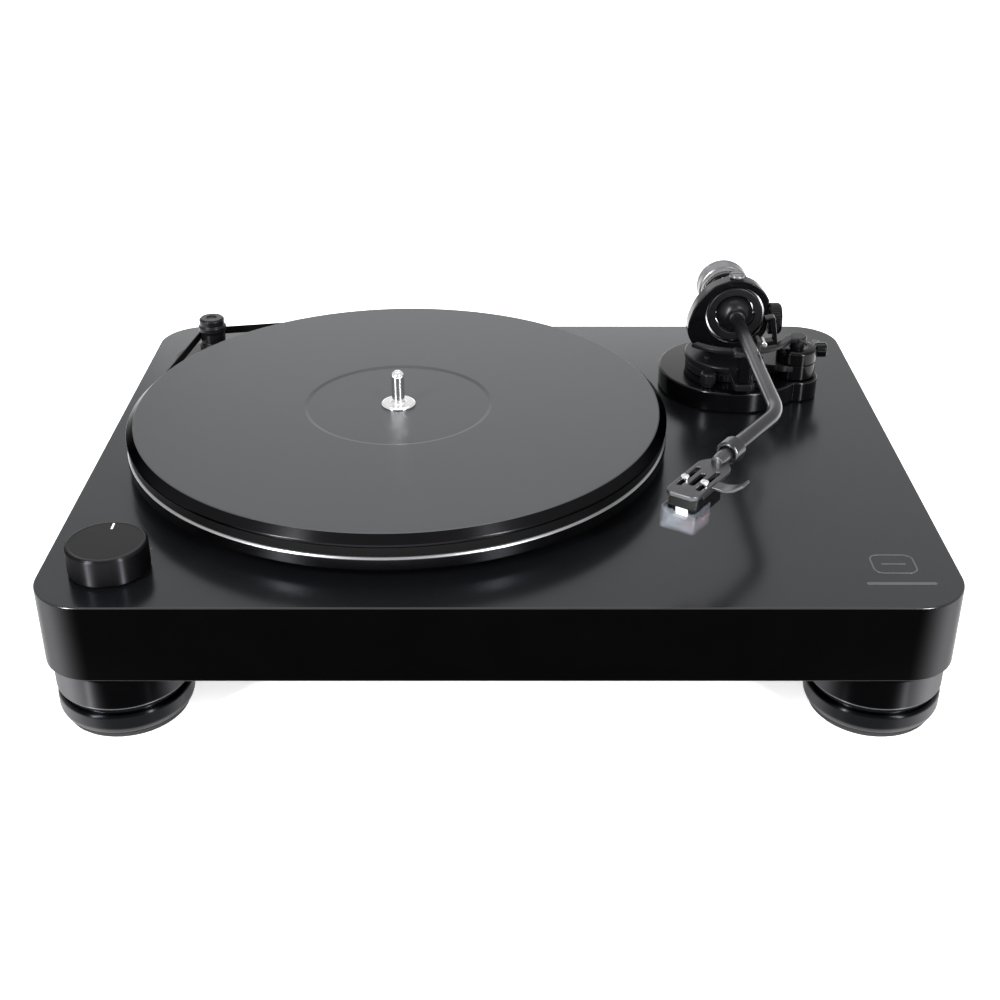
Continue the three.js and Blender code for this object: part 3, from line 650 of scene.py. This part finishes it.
def drive():
    inner = belt_outline(PLATTER_AT, BELT_ON_PLATTER[0], PULLEY_AT, BELT_ON_PULLEY[0])
    outer = belt_outline(PLATTER_AT, BELT_ON_PLATTER[1], PULLEY_AT, BELT_ON_PULLEY[1])
    loop = slab([outer, inner], *BELT_HEIGHTS, 0.12, 1)
    put(loop, "drive_belt_loop", Matrix(), "chassis", BELT, ["drive_belt"])
    low, high = span("motor_pulley")
    bottom, top = low[2], high[2]
    at = stand(PULLEY_AT[0], PULLEY_AT[1])
    wheel = turned([
        (1.6, bottom), (8.8, bottom), (8.8, 91), (7.7, 92.2), (7.78, 95.4), (7.7, 98.6), (8.8, 99.8), (8.8, 102.6),
        (7.9, 103.6), (7.9, 107), (7.0, top), (3.4, top), (2.8, top - 0.8), (0, top - 0.8), (0, 104.3), (1.6, 104.3),
    ], 0.3, 96, closed=True)
    put(wheel, "motor_pulley_wheel", at, "pulley", ANODISED, ["motor_pulley"])
    finish_node("motor_shaft", STEEL)
    finish_node("motor_body", STEEL)
    plate = turned([
        (6, 80.3), (25, 80.3), (25, 81.2), (24.2, 81.8), (13, 81.8), (12.4, 81.4), (6, 81.4),
    ], 0.25, 128, closed=True)
    put(plate, "motor_plate_disc", at, "chassis", GLOSS, ["motor_plate"])
    for k in range(3):
        head = turned([(0, 81.2), (2.2, 81.2), (2.2, 81.55), (1.7, 81.8), (0, 81.8)], 0.12, 24)
        put(head, "motor_plate_screw_%d" % k, stand(*around(PULLEY_AT, 19, 100 + 120 * k)), "chassis", STEEL)


def speed_control():
    low, high = span("speed_knob")
    r = (high[0] - low[0]) / 2
    top = high[2]
    bottom = TOP + 0.8
    at = stand(KNOB_AT[0], KNOB_AT[1])
    knob = turned([
        (0, 60.2), (3, 60.2), (3, bottom), (r - 0.8, bottom), (r, bottom + 0.8), (r, top - 1.1), (r - 1.0, top - 0.1),
        (r - 1.8, top), (r - 2.4, top - 0.15), (0, top - 0.15),
    ], 0.45, 160)
    piece = put(knob, "speed_knob_cap", at, "speed_knob", KNOB_GLOSS, ["speed_knob"])
    # The knob's flat top takes the darker copy: painted shade.
    piece.data.materials.append(KNOB_TOP_PAINTED_SHADE)
    for face in piece.data.polygons:
        if face.normal.z > 0.9 and face.center.z > (top - 1) * MM:
            face.material_index = 1
    line = block(-0.5, 0.5, r - 8, r - 2.6, top - 0.4, top, 0.08)
    put(line, "speed_knob_line", at, "speed_knob", WHITE)
    for k, angle in enumerate((50, 90, 130)):
        dot = turned([(0, TOP - 0.2), (0.9, TOP - 0.2), (0.9, TOP + 0.06), (0, TOP + 0.08)], 0.05, 24)
        put(dot, "speed_mark_%d" % k, stand(*around(KNOB_AT, 25, angle)), "chassis", BADGE)
    finish_node("speed_switch", PLASTIC)
    finish_node("circuit_board", BOARD)


# ---------------------------------------------------------------- rear terminals
def terminals():
    face = REAR_BOX["face"]
    row = middle("signal_jack_left")[2]
    holes = [circle(3.4, middle(n)[0], row, 32) for n in ("signal_jack_left", "signal_jack_right")]
    holes.append(circle(2.4, middle("ground_post")[0], row, 24))
    holes.append(circle(5.4, middle("power_inlet")[0], row, 32))
    slider_x = middle("output_slider")[0]
    holes.append(rounded_box(slider_x - 4.4, slider_x + 4.4, row - 2.2, row + 2.2, 0.4, 3))
    gap = 0.3
    outline = rounded_box(
        REAR_BOX["x0"] + gap, REAR_BOX["x1"] - gap, REAR_BOX["z0"] + gap, REAR_BOX["z1"] - gap, 0.6, 3
    )
    panel = moved(slab([outline] + holes, -face, -face + 2, 0.2, 1), UPRIGHT)
    put(panel, "terminal_plate", Matrix(), "chassis", PLASTIC, ["terminal_panel"])

    for node, tint in (("signal_jack_left", WHITE), ("signal_jack_right", RED)):
        at = aim((0, 1, 0), (middle(node)[0], face, row))
        jack = turned([
            (0, -7), (3, -7), (3, 0.3), (5, 0.3), (5, 2), (4.1, 2), (4.1, 9.0), (3.8, 9.5), (2.4, 9.5), (2.4, 6.5),
            (0, 6.5),
        ], 0.25, 64)
        put(jack, node + "_barrel", at, "chassis", GOLD, [node])
        insert = turned([(1.7, 6.6), (2.3, 6.6), (2.3, 9.2), (1.7, 9.2)], 0.12, 48, closed=True)
        put(insert, node + "_insert", at, "chassis", tint)
        collar = turned([(4.2, 2.1), (5.6, 2.1), (5.6, 3.0), (4.2, 3.0)], 0.2, 48, closed=True)
        put(collar, node + "_band", at, "chassis", tint)

    at = aim((0, 1, 0), (middle("ground_post")[0], face, row))
    post = turned([(0, -7), (2, -7), (2, 0.3), (4, 0.3), (4, 1.5), (2, 1.5), (2, 9.1), (1.6, 9.5), (0, 9.5)], 0.2, 48)
    put(post, "ground_post_stud", at, "chassis", STEEL, ["ground_post"])
    nut = turned([(2.4, 3), (4.6, 3), (4.6, 7.4), (3.9, 8), (2.4, 8)], 0.3, 180, closed=True, ribs=(30, 0.35, 3.2, 7.4))
    put(nut, "ground_nut_grip", at, "ground_nut", BRASS, ["ground_nut"])
    inlet = turned([
        (0, -9), (5, -9), (5, 1.4), (4.4, 1.4), (2.9, 1.0), (2.9, -6), (1, -6), (1, 0.0), (0.5, 0.4), (0, 0.4),
    ], 0.2, 64)
    at = aim((0, 1, 0), (middle("power_inlet")[0], face, row))
    put(inlet, "power_inlet_socket", at, "chassis", PLASTIC, ["power_inlet"])
    slider = block(-1.8, 1.8, -1.7, 1.7, -5, 3, 0.25)
    furrows = [
        moved(block(-1.9, 1.9, -0.25, 0.25, 2.6, 3.4, 0.05), Matrix.Translation((0, k * 0.9 * MM, 0)))
        for k in (-1, 0, 1)
    ]
    cut(slider, *furrows)
    at = aim((0, 1, 0), (slider_x, face, row))
    put(slider, "output_slider_tip", at, "output_slider", WHITE, ["output_slider"])


# ---------------------------------------------------------------- arm: fixed parts
ARM_BASE_R = 43.5
TURRET_BASE_R = 14
FLANGE_LOW, FLANGE_TOP = 98.6, 102.6  # the plate that carries the arm's raised parts


def joined_outline(x0, y0, r0, x1, y1, r1, steps=72):
    """The outline of two overlapping circles."""
    gap = math.hypot(x1 - x0, y1 - y0)
    heading = math.degrees(math.atan2(y1 - y0, x1 - x0))
    a = math.degrees(math.acos((gap * gap + r0 * r0 - r1 * r1) / (2 * gap * r0)))
    b = math.degrees(math.acos((gap * gap + r1 * r1 - r0 * r0) / (2 * gap * r1)))
    big = circle(r0, x0, y0, steps, heading + a, 360 - 2 * a)
    small = circle(r1, x1, y1, steps // 2, heading + 180 + b, 360 - 2 * b)
    return big[:-1] + small[:-1]


def arm_base():
    outline = joined_outline(PIVOT.x, PIVOT.y, ARM_BASE_R, TURRET[0], TURRET[1], TURRET_BASE_R)
    base_top = span("arm_base")[1][2]
    body = slab([outline, circle(COLUMN_HOLE, PIVOT.x, PIVOT.y, 64)], TOP + 0.3, base_top, 1.2, 4)
    put(body, "arm_base_disc", Matrix(), "chassis", GLOSS, ["arm_base"])
    at = stand(PIVOT.x, PIVOT.y)
    low, high = span("height_ring")
    bottom, top = low[2], high[2]
    ring = turned([
        (COLUMN_HOLE, bottom), (27.3, bottom), (27.3, top - 0.8), (26.5, top), (COLUMN_HOLE, top),
    ], 0.35, 400, closed=True, ribs=(80, 0.5, bottom + 0.4, top - 0.9))
    put(ring, "height_ring_grip", at, "height_ring", ANODISED, ["height_ring"])
    for k in range(7):
        mark = block(25.2, 26.4, -0.2, 0.2, top - 0.25, top + 0.05, 0.04)
        moved(mark, Matrix.Rotation(math.radians(-120 + 10 * k), 4, "Z"))
        put(mark, "height_mark_%d" % k, at, "height_ring", WHITE)
    x, y, _ = middle("height_lock_knob")
    top = span("height_lock_knob")[1][2]
    lock = turned([
        (0, 87), (2, 87), (2, 93.3), (3.6, 93.3), (3.6, 95), (4.5, 95.5), (4.5, top - 1), (3.8, top), (0, top),
    ], 0.3, 144, ribs=(24, 0.4, 95.4, top - 1))
    put(lock, "height_lock_grip", stand(x, y), "height_lock", ANODISED, ["height_lock_knob"])


def arm_column():
    low, high = FLANGE_LOW, FLANGE_TOP
    flange = turned([(0, 60), (15, 60), (15, low), (28, low), (28, high - 0.6), (27.4, high), (0, high)], 0.3, 128)
    put(flange, "arm_column_flange", stand(PIVOT.x, PIVOT.y), "column", ANODISED, ["arm_column"])
    skirt = turned([(4.4, 93.8), (12, 93.8), (12, high), (4.4, high)], 0.35, 96, closed=True)
    put(skirt, "arm_column_skirt", stand(TURRET[0], TURRET[1]), "column", GLOSS)
    bridge = slab([[(160, 58), (178, 54.2), (183, 77.6), (160, 94)]], low + 0.05, high - 0.05, 0.4, 2)
    put(bridge, "arm_column_bridge", Matrix(), "column", ANODISED)
    outline = rounded_box(REST.x - 6, REST.x + 6, REST.y - 6, PIVOT.y - 20, 2.5, 8)
    tongue = slab([outline], low + 0.05, high - 0.05, 0.5, 3)
    put(tongue, "arm_column_tongue", Matrix(), "column", ANODISED)


def gimbal():
    at = stand(*PIVOT)
    crown = circle(22, steps=30, start=25, sweep=76)
    yoke = [(20, -12), (20, 9)] + crown + [
        (-15, 17.5), (-24, 7), (-28, -5), (-28, -13), (-24, -20), (-15, -25.1), (11, -25.1), (11, -20.5),
    ]
    hoop = slab([soften(yoke, 5, closed=True), circle(17.5, steps=96)], -5, 5, 0.8, 4)
    moved(hoop, UPRIGHT)
    cut(hoop, cutter(circle(2.3, steps=32), 15, 30))
    put(hoop, "gimbal_hoop", at, "column", GLOSS, ["gimbal_frame"])
    for k in (-1, 1):
        bolt = turned([(0, 0), (1.9, 0), (1.9, 1.2), (1.4, 1.6), (0, 1.6)], 0.2, 32)
        bolt_at = stand(PIVOT.x + 16 * k, PIVOT.y - 12, FLANGE_TOP - 0.1)
        put(bolt, "gimbal_foot_bolt_%d" % (k + 1), bolt_at, "column", ANODISED)
    screw = turned([(0, 19.6), (2, 19.6), (2, 22.3), (4.5, 22.3), (4.5, 23.7), (3.7, 24.5), (0, 24.5)], 0.3, 64)
    cut(screw, block(-6, 6, -0.5, 0.5, 23.6, 26, 0.05))
    put(screw, "pivot_screw_head", at, "column", WEIGHT_METAL, ["pivot_screw"])

    ring = turned([(11.8, -4), (16.1, -4), (16.7, -3.4), (16.7, 3.4), (16.1, 4), (11.8, 4)], 0.5, 128, closed=True)
    moved(ring, UPRIGHT)
    put(ring, "gimbal_ring_inner", at, "yaw_ring", ANODISED, ["gimbal_ring"])
    for k, sign in enumerate((-1, 1)):
        pin = turned([(0, 14), (1.7, 14), (1.7, 18.8), (0.6, 19.2), (0, 19.2)], 0.2, 32)
        put(pin, "gimbal_pin_%d" % k, aim((0, 0, sign), PIVOT), "yaw_ring", STEEL)

    dial_at = aim((1, 0, 0), PIVOT + Vector((0, -2.8, -3)))
    boss = turned([(0, 19.4), (2, 19.4), (2, 25), (1.7, 25.5), (0, 25.5)], 0.15, 32)
    put(boss, "antiskate_axle", dial_at, "column", STEEL)
    dial = turned([
        (2.3, 20.3), (8.8, 20.3), (9.5, 21), (9.5, 26.6), (8.6, 27.8), (6.2, 28), (5.8, 27.6), (0, 27.6), (0, 26),
        (2.3, 26),
    ], 0.3, 216, closed=True, ribs=(36, 0.4, 21.2, 26.4))
    put(dial, "antiskate_grip", dial_at, "antiskate_dial", GLOSS, ["antiskate_dial"])
    for k in range(7):
        tick = moved(block(6.7, 8.2, -0.22, 0.22, 27.6, 28.02, 0.05), Matrix.Rotation(math.radians(30 * k), 4, "Z"))
        put(tick, "antiskate_tick_%d" % k, dial_at, "antiskate_dial", WHITE)


# ---------------------------------------------------------------- arm: moving parts
TUBE_R = 4
BEND_REACH = 11.3  # from the corner of the bend to where it starts and ends
TUBE_END = 54  # this and the next run from the bend towards the head
COLLAR_FROM = 49
BALL_R = 11.2


def curve_through(a, pull, b, steps):
    """Points from a to b on an even curve that leaves and arrives towards the pull point."""
    return [
        a * (1 - t) ** 2 + pull * 2 * t * (1 - t) + b * t * t
        for t in (i / steps for i in range(steps + 1))
    ]


def arm_tube():
    bend = curve_through(BEND - FIRST * BEND_REACH, BEND, BEND + FORWARD * BEND_REACH, 28)
    bar = tube([PIVOT + FIRST * 10] + bend + [BEND + FORWARD * TUBE_END], TUBE_R, 14)
    put(bar, "arm_tube_bar", Matrix(), "arm", GUNMETAL, ["arm_tube"])
    turns = [math.radians(-58 + 116 * k / 40) for k in range(41)]
    ball = [(BALL_R * math.cos(a), BALL_R * math.sin(a)) for a in turns]
    sleeve = turned([(0, -12), (5.9, -12)] + ball + [(5.2, 11), (4.9, 12.6), (4.1, 13), (0, 13)], 0.35, 96)
    put(sleeve, "arm_sleeve", aim(FIRST, PIVOT), "arm", ANODISED)
    for k, sign in enumerate((-1, 1)):
        pin = turned([(0, 6), (1.6, 6), (1.6, 14.4), (0.5, 14.8), (0, 14.8)], 0.15, 32)
        put(pin, "arm_pin_%d" % k, aim((sign, 0, 0), PIVOT), "arm", STEEL)


def along_head(start):
    """Place of a piece made round Z that runs along the head, from a distance in front of the bend."""
    return aim(FORWARD, BEND + FORWARD * start)


def headshell():
    collar = turned([
        (4.3, 0), (5.4, 0), (6.2, 1), (6.2, 9), (5.4, 10), (4.3, 10),
    ], 0.3, 200, closed=True, ribs=(40, 0.3, 1.4, 8.4))
    put(collar, "headshell_collar_grip", along_head(COLLAR_FROM), "headshell_collar", GUNMETAL, ["headshell_collar"])

    outline = [(65, -4.6), (71, -8.6), (104, -8.6), (107, -6.4), (107, 6.4), (104, 8.6), (71, 8.6), (65, 4.6)]
    outline = soften(outline, 2.0, closed=True)
    slots = [rounded_box(77, 99, 3.9, 6.4, 1.2, 6), rounded_box(77, 99, -6.4, -3.9, 1.2, 6)]
    slots.append(rounded_box(82, 96, -1.5, 1.5, 1.45, 6))
    shell = slab([outline] + slots, -3, -0.6, 0.45, 3)
    put(shell, "headshell_plate", HEAD, "arm", HEAD_METAL, ["headshell"])
    neck = turned([(0, 0), (3.6, 0), (3.6, 10), (3.0, 15.2), (0, 15.7)], 0.4, 64)
    put(neck, "headshell_neck", along_head(TUBE_END + 0.3), "arm", HEAD_METAL)
    for k, y in enumerate((-5.15, 5.15)):
        bolt = turned([(0, -0.7), (2.1, -0.7), (2.1, 0.9), (1.7, 1.4), (0, 1.4)], 0.25, 48)
        cut(bolt, block(-3, 3, -0.35, 0.35, 0.8, 2, 0.05))
        put(bolt, "headshell_bolt_%d" % k, HEAD @ stand(92, y), "arm", BRIGHT)

    blade = [(8.4, -2.5), (15, -2.6), (20, -1), (25, 3.2), (24.2, 4.5), (19.2, 0.5), (14.6, -1.1), (8.4, -1.1)]
    lift = slab([soften(blade, 1.6, closed=True)], -3.6, 3.6, 0.35, 2)
    sideways = Matrix(((0, 0, 1, 0), (1, 0, 0, 0), (0, 1, 0, 0), (0, 0, 0, 1)))
    put(lift, "finger_lift_blade", HEAD @ stand(88, 0) @ sideways, "arm", HEAD_METAL, ["finger_lift"])


def cartridge():
    side = [(78, -14.5), (103, -14.5), (104, -9), (102, -3.3), (78, -3.3)]
    body = slab([soften(side, 0.8, closed=True)], -7.6, 7.6, 0.6, 3)
    put(body, "cartridge_case", HEAD @ UPRIGHT, "arm", GLOSS, ["cartridge_body"])
    # A small white spot on the cartridge's front.
    mark = slab([rounded_box(-3.2, 3.2, -2.2, 2.2, 0.5, 4)], -0.2, 0.15, 0.06, 1)
    dip = math.radians(12)
    front = aim((math.cos(dip), 0, -math.sin(dip)), (103.45, 0, -11.6))
    put(mark, "cartridge_front_white_spot", HEAD @ front, "arm", WHITE)
    flange = slab([rounded_box(86, 98, -8, 8, 1.2, 5)], -5.6, -3.35, 0.3, 2)
    put(flange, "cartridge_flange", HEAD, "arm", PLASTIC)
    for k, (material, y) in enumerate(zip(LEADS, (-3.6, -1.2, 1.2, 3.6))):
        z = -7.0 if k % 2 else -9.6
        pin = turned([(0, 0), (0.6, 0), (0.6, 3.4), (0, 3.6)], 0.1, 20)
        put(pin, "cartridge_pin_%d" % k, HEAD @ aim((-1, 0, 0), (78.2, y, z)), "arm", GOLD)
        sag = Vector((69, y * 0.9, z - 1.2))
        wire = tube(curve_through(Vector((74.8, y, z)), sag, Vector((63.5, y * 0.6, -3.6)), 14), 0.32, 5)
        put(wire, "cartridge_lead_%d" % k, HEAD, "arm", material)
    holder = block(82, 97, -4.8, 4.8, -17.2, -14.8, 0.45, 1.2)
    put(holder, "stylus_holder", HEAD, "arm", RED, ["stylus_unit"])
    cantilever = tube([(95, 0, -16.2), (97, 0, -16.5), (100.4, 0, -17.4)], 0.28, 5)
    put(cantilever, "stylus_cantilever", HEAD, "arm", STEEL)
    tip = turned([(0, -18.2), (0.3, -17.5), (0.3, -17.1), (0, -17.1)], 0.05, 16)
    put(tip, "stylus_tip", HEAD @ stand(100.1, 0), "arm", BRIGHT)
    guard = block(91, 108.8, -9.3, 9.3, -19.6, -9, 0.6, 2.0)
    cut(guard, block(80, 107.7, -8.4, 8.4, -18.8, 0, 0.3, 1.4))
    put(guard, "stylus_guard_cup", HEAD, "stylus_guard", CLEAR, ["stylus_guard"])


def counterweight():
    grooves = [(4.5 - 0.25 * (k % 2), 22.6 + 0.5 * k) for k in range(73)]
    stub = turned([
        (0, 12.4), (5, 12.4), (5, 21.6), (4.5, 22.2), *grooves, (4.4, 59.6), (3.8, 60), (0, 60),
    ], 0.12, 64)
    put(stub, "counterweight_thread", ARM_BACK, "arm", STEEL, ["counterweight_stub"])
    dial = turned([
        (5.3, 25), (14.4, 25), (15.5, 26.1), (15.5, 30), (5.3, 30),
    ], 0.3, 240, closed=True, ribs=(40, 0.35, 26.3, 29.8))
    put(dial, "force_dial_ring", ARM_BACK, "force_dial", GLOSS, ["force_dial"])
    for k in range(20):
        inner_end = 11.6 if k % 5 else 10.4
        tick = block(inner_end, 13.6, -0.18, 0.18, 24.9, 25.3, 0.05)
        moved(tick, Matrix.Rotation(math.radians(18 * k), 4, "Z"))
        put(tick, "force_tick_%02d" % k, ARM_BACK, "force_dial", WHITE)
    weight = turned([
        (5.3, 30.3), (15.5, 30.3), (15.5, 34), (14.8, 34.6), (14.8, 36), (15.2, 36.4), (16, 37), (16, 44.6),
        (15.5, 45), (15.5, 45.8), (16, 46.2), (16, 48.8), (14.4, 50.4), (9, 50.4), (8.4, 49.8), (5.3, 49.8),
    ], 0.3, 160, closed=True)
    put(weight, "counterweight_body", ARM_BACK, "counterweight", WEIGHT_METAL, ["counterweight"])


# ---------------------------------------------------------------- cueing and rest
LIFTER_HEIGHTS = (115.4, 118)
REST_OPEN = 80  # degrees that the clip stands open when the arm is free


def arc_outline(inner_r, outer_r, start, sweep):
    """The outline of a curved strip round the arm's pivot."""
    outer = circle(outer_r, PIVOT.x, PIVOT.y, 40, start, sweep)
    return outer + circle(inner_r, PIVOT.x, PIVOT.y, 40, start + sweep, -sweep)


def cueing():
    at = stand(TURRET[0], TURRET[1])
    low, high = span("cue_housing")
    bottom, top = low[2], high[2]
    housing = turned([
        (4.4, bottom), (12, bottom), (12, top - 1.6), (11, top - 0.5), (8.6, top), (6.4, top), (6.0, top - 0.6),
        (4.4, top - 0.6),
    ], 0.4, 96, closed=True)
    put(housing, "cue_turret", at, "column", GLOSS, ["cue_housing"])

    bottom, top = LIFTER_HEIGHTS
    strip = slab([arc_outline(32.5, 37.5, -138, 116)], bottom, top, 0.5, 3)
    put(strip, "cue_lifter_arc", Matrix(), "cue_lifter", ANODISED, ["cue_lifter"])
    pad = slab([arc_outline(33.4, 36.6, -136, 84)], top - 0.3, top, 0.1, 1)
    put(pad, "cue_lifter_pad", stand(0, 0, 0.05), "cue_lifter", RUBBER)
    outline = soften([(172, 60.6), (179, 60.6), (180.6, 70.8), (173.6, 66.4)], 1.2, closed=True)
    link = slab([outline], bottom + 0.1, top - 0.1, 0.4, 2)
    put(link, "cue_lifter_link", Matrix(), "cue_lifter", ANODISED)
    stem = turned([
        (0, 97), (4, 97), (4, bottom), (5.5, bottom), (5.5, top - 0.5), (5.0, top), (0, top),
    ], 0.3, 64)
    put(stem, "cue_lifter_stem", at, "cue_lifter", ANODISED)

    pivot = joint_at("cue_turn")
    hub = turned([(0, 6), (2, 6), (2, 12.6), (4.5, 12.6), (4.5, 18.2), (3.7, 19), (0, 19)], 0.35, 72)
    put(hub, "cue_lever_hub", aim((1, 0, 0), (TURRET[0], pivot.y, pivot.z)), "cue_lever", GLOSS, ["cue_lever"])
    lever = block(-2.1, 2.1, 0, 18, -1.6, 1.6, 0.6, 2.0)
    moved(lever, Matrix.Rotation(math.radians(-8), 4, "X"))
    put(lever, "cue_lever_arm", stand(TURRET[0] + 15.5, pivot.y, pivot.z), "cue_lever", GLOSS)


def arm_rest():
    at = stand(REST.x, REST.y)
    post = block(-4, 4, -4, 4, FLANGE_TOP + 0.3, 121, 0.5, 1.5)
    put(post, "arm_rest_post", at, "column", GLOSS, ["arm_rest"])
    cup = [
        (-7, 119), (7.6, 119), (7.6, 130), (5.2, 130), (4.9, 124.6), (3.4, 122.9), (0, 122.4), (-4, 122.5),
        (-6, 122.7), (-7, 122),
    ]
    cradle = slab([soften(cup, 0.8, closed=True)], -4, 4, 0.5, 3)
    put(cradle, "arm_rest_cradle", at @ UPRIGHT, "column", PLASTIC)
    hinge = joint_at("rest_clip_turn")
    hook = [
        (-1.2, 0), (1.4, 0), (1.4, 7.2), (0.6, 8), (-14.8, 8), (-15.5, 7.2), (-15.5, 2.4), (-13.8, 2.4),
        (-13.8, 5.8), (-1.2, 5.8),
    ]
    clip = slab([soften(hook, 0.6, closed=True)], -3, 3, 0.4, 2)
    moved(clip, UPRIGHT)
    moved(clip, Matrix.Rotation(math.radians(REST_OPEN), 4, "Y"))
    put(clip, "rest_clip_hook", stand(*hinge), "rest_clip", GLOSS, ["rest_clip"])
    barrel = turned([(0, -4), (1.7, -4), (1.7, 4), (0, 4)], 0.3, 40)
    put(barrel, "rest_clip_barrel", aim((0, 1, 0), hinge), "rest_clip", STEEL)


# ---------------------------------------------------------------- studio
FLOOR_HALF = 9.0
FLOOR_DROP = 0.0002
FLOOR_GLOW = 0.55
ROOM_LIGHT = 0.82


def softbox(name, at, target, width, height, power):
    """A soft rectangular light at a point, facing a target; all in metres and watts."""
    light = bpy.data.lights.new(name, "AREA")
    light.shape = "RECTANGLE"
    light.size = width
    light.size_y = height
    light.energy = power
    obj = bpy.data.objects.new(name, light)
    bpy.context.scene.collection.objects.link(obj)
    obj.location = at
    obj.rotation_euler = (Vector(target) - Vector(at)).to_track_quat("-Z", "Y").to_euler()


def studio():
    mesh = bpy.data.meshes.new("floor")
    corners = [(x * FLOOR_HALF, y * FLOOR_HALF, 0) for x, y in ((-1, -1), (1, -1), (1, 1), (-1, 1))]
    mesh.from_pydata(corners, [], [(0, 1, 2, 3)])
    floor = new_object(mesh)
    floor.name = "floor"
    floor.location.z = -FLOOR_DROP
    material = bpy.data.materials.new("pale_floor")
    material.use_nodes = True
    shader = material.node_tree.nodes["Principled BSDF"]
    shader.inputs["Base Color"].default_value = (0.93, 0.93, 0.93, 1)
    shader.inputs["Roughness"].default_value = 0.9
    shader.inputs["Specular IOR Level"].default_value = 0.0
    shader.inputs["Emission Color"].default_value = (1, 1, 1, 1)
    shader.inputs["Emission Strength"].default_value = FLOOR_GLOW
    mesh.materials.append(material)

    world = bpy.data.worlds.new("soft_room")
    world.use_nodes = True
    world.node_tree.nodes["Background"].inputs["Color"].default_value = (1, 1, 1, 1)
    world.node_tree.nodes["Background"].inputs["Strength"].default_value = ROOM_LIGHT
    bpy.context.scene.world = world

    softbox("back_light", (-0.1, 2.3, 0.72), (0, 0, 0.1), 1.4, 0.62, 2.6)
    softbox("top_light", (0, 0.4, 1.9), (0, 0, 0.1), 1.6, 1.2, 14)
    softbox("left_strip", (-1.15, -1.15, 0.8), (-0.1, -0.1, 0.06), 0.14, 1.3, 55)
    softbox("right_strip", (1.0, -1.2, 0.8), (0.1, -0.1, 0.06), 0.14, 1.3, 42)


# ---------------------------------------------------------------- camera
CAMERA_AT = (0.0005, -0.740, 0.448)
CAMERA_DIP = 28.8
CAMERA_LENS = 51.7


def camera():
    data = bpy.data.cameras.new("camera")
    data.lens = CAMERA_LENS
    data.sensor_width = 36
    data.clip_start = 0.01
    obj = bpy.data.objects.new("camera", data)
    bpy.context.scene.collection.objects.link(obj)
    obj.location = CAMERA_AT
    obj.rotation_euler = (math.radians(90 - CAMERA_DIP), 0, 0)
    bpy.context.scene.camera = obj
    bpy.context.scene.view_settings.view_transform = "Standard"


plinth()
bottom_cover()
badge()
feet()
platter()
drive()
speed_control()
terminals()
arm_base()
arm_column()
gimbal()
arm_tube()
headshell()
cartridge()
counterweight()
cueing()
arm_rest()
studio()
camera()
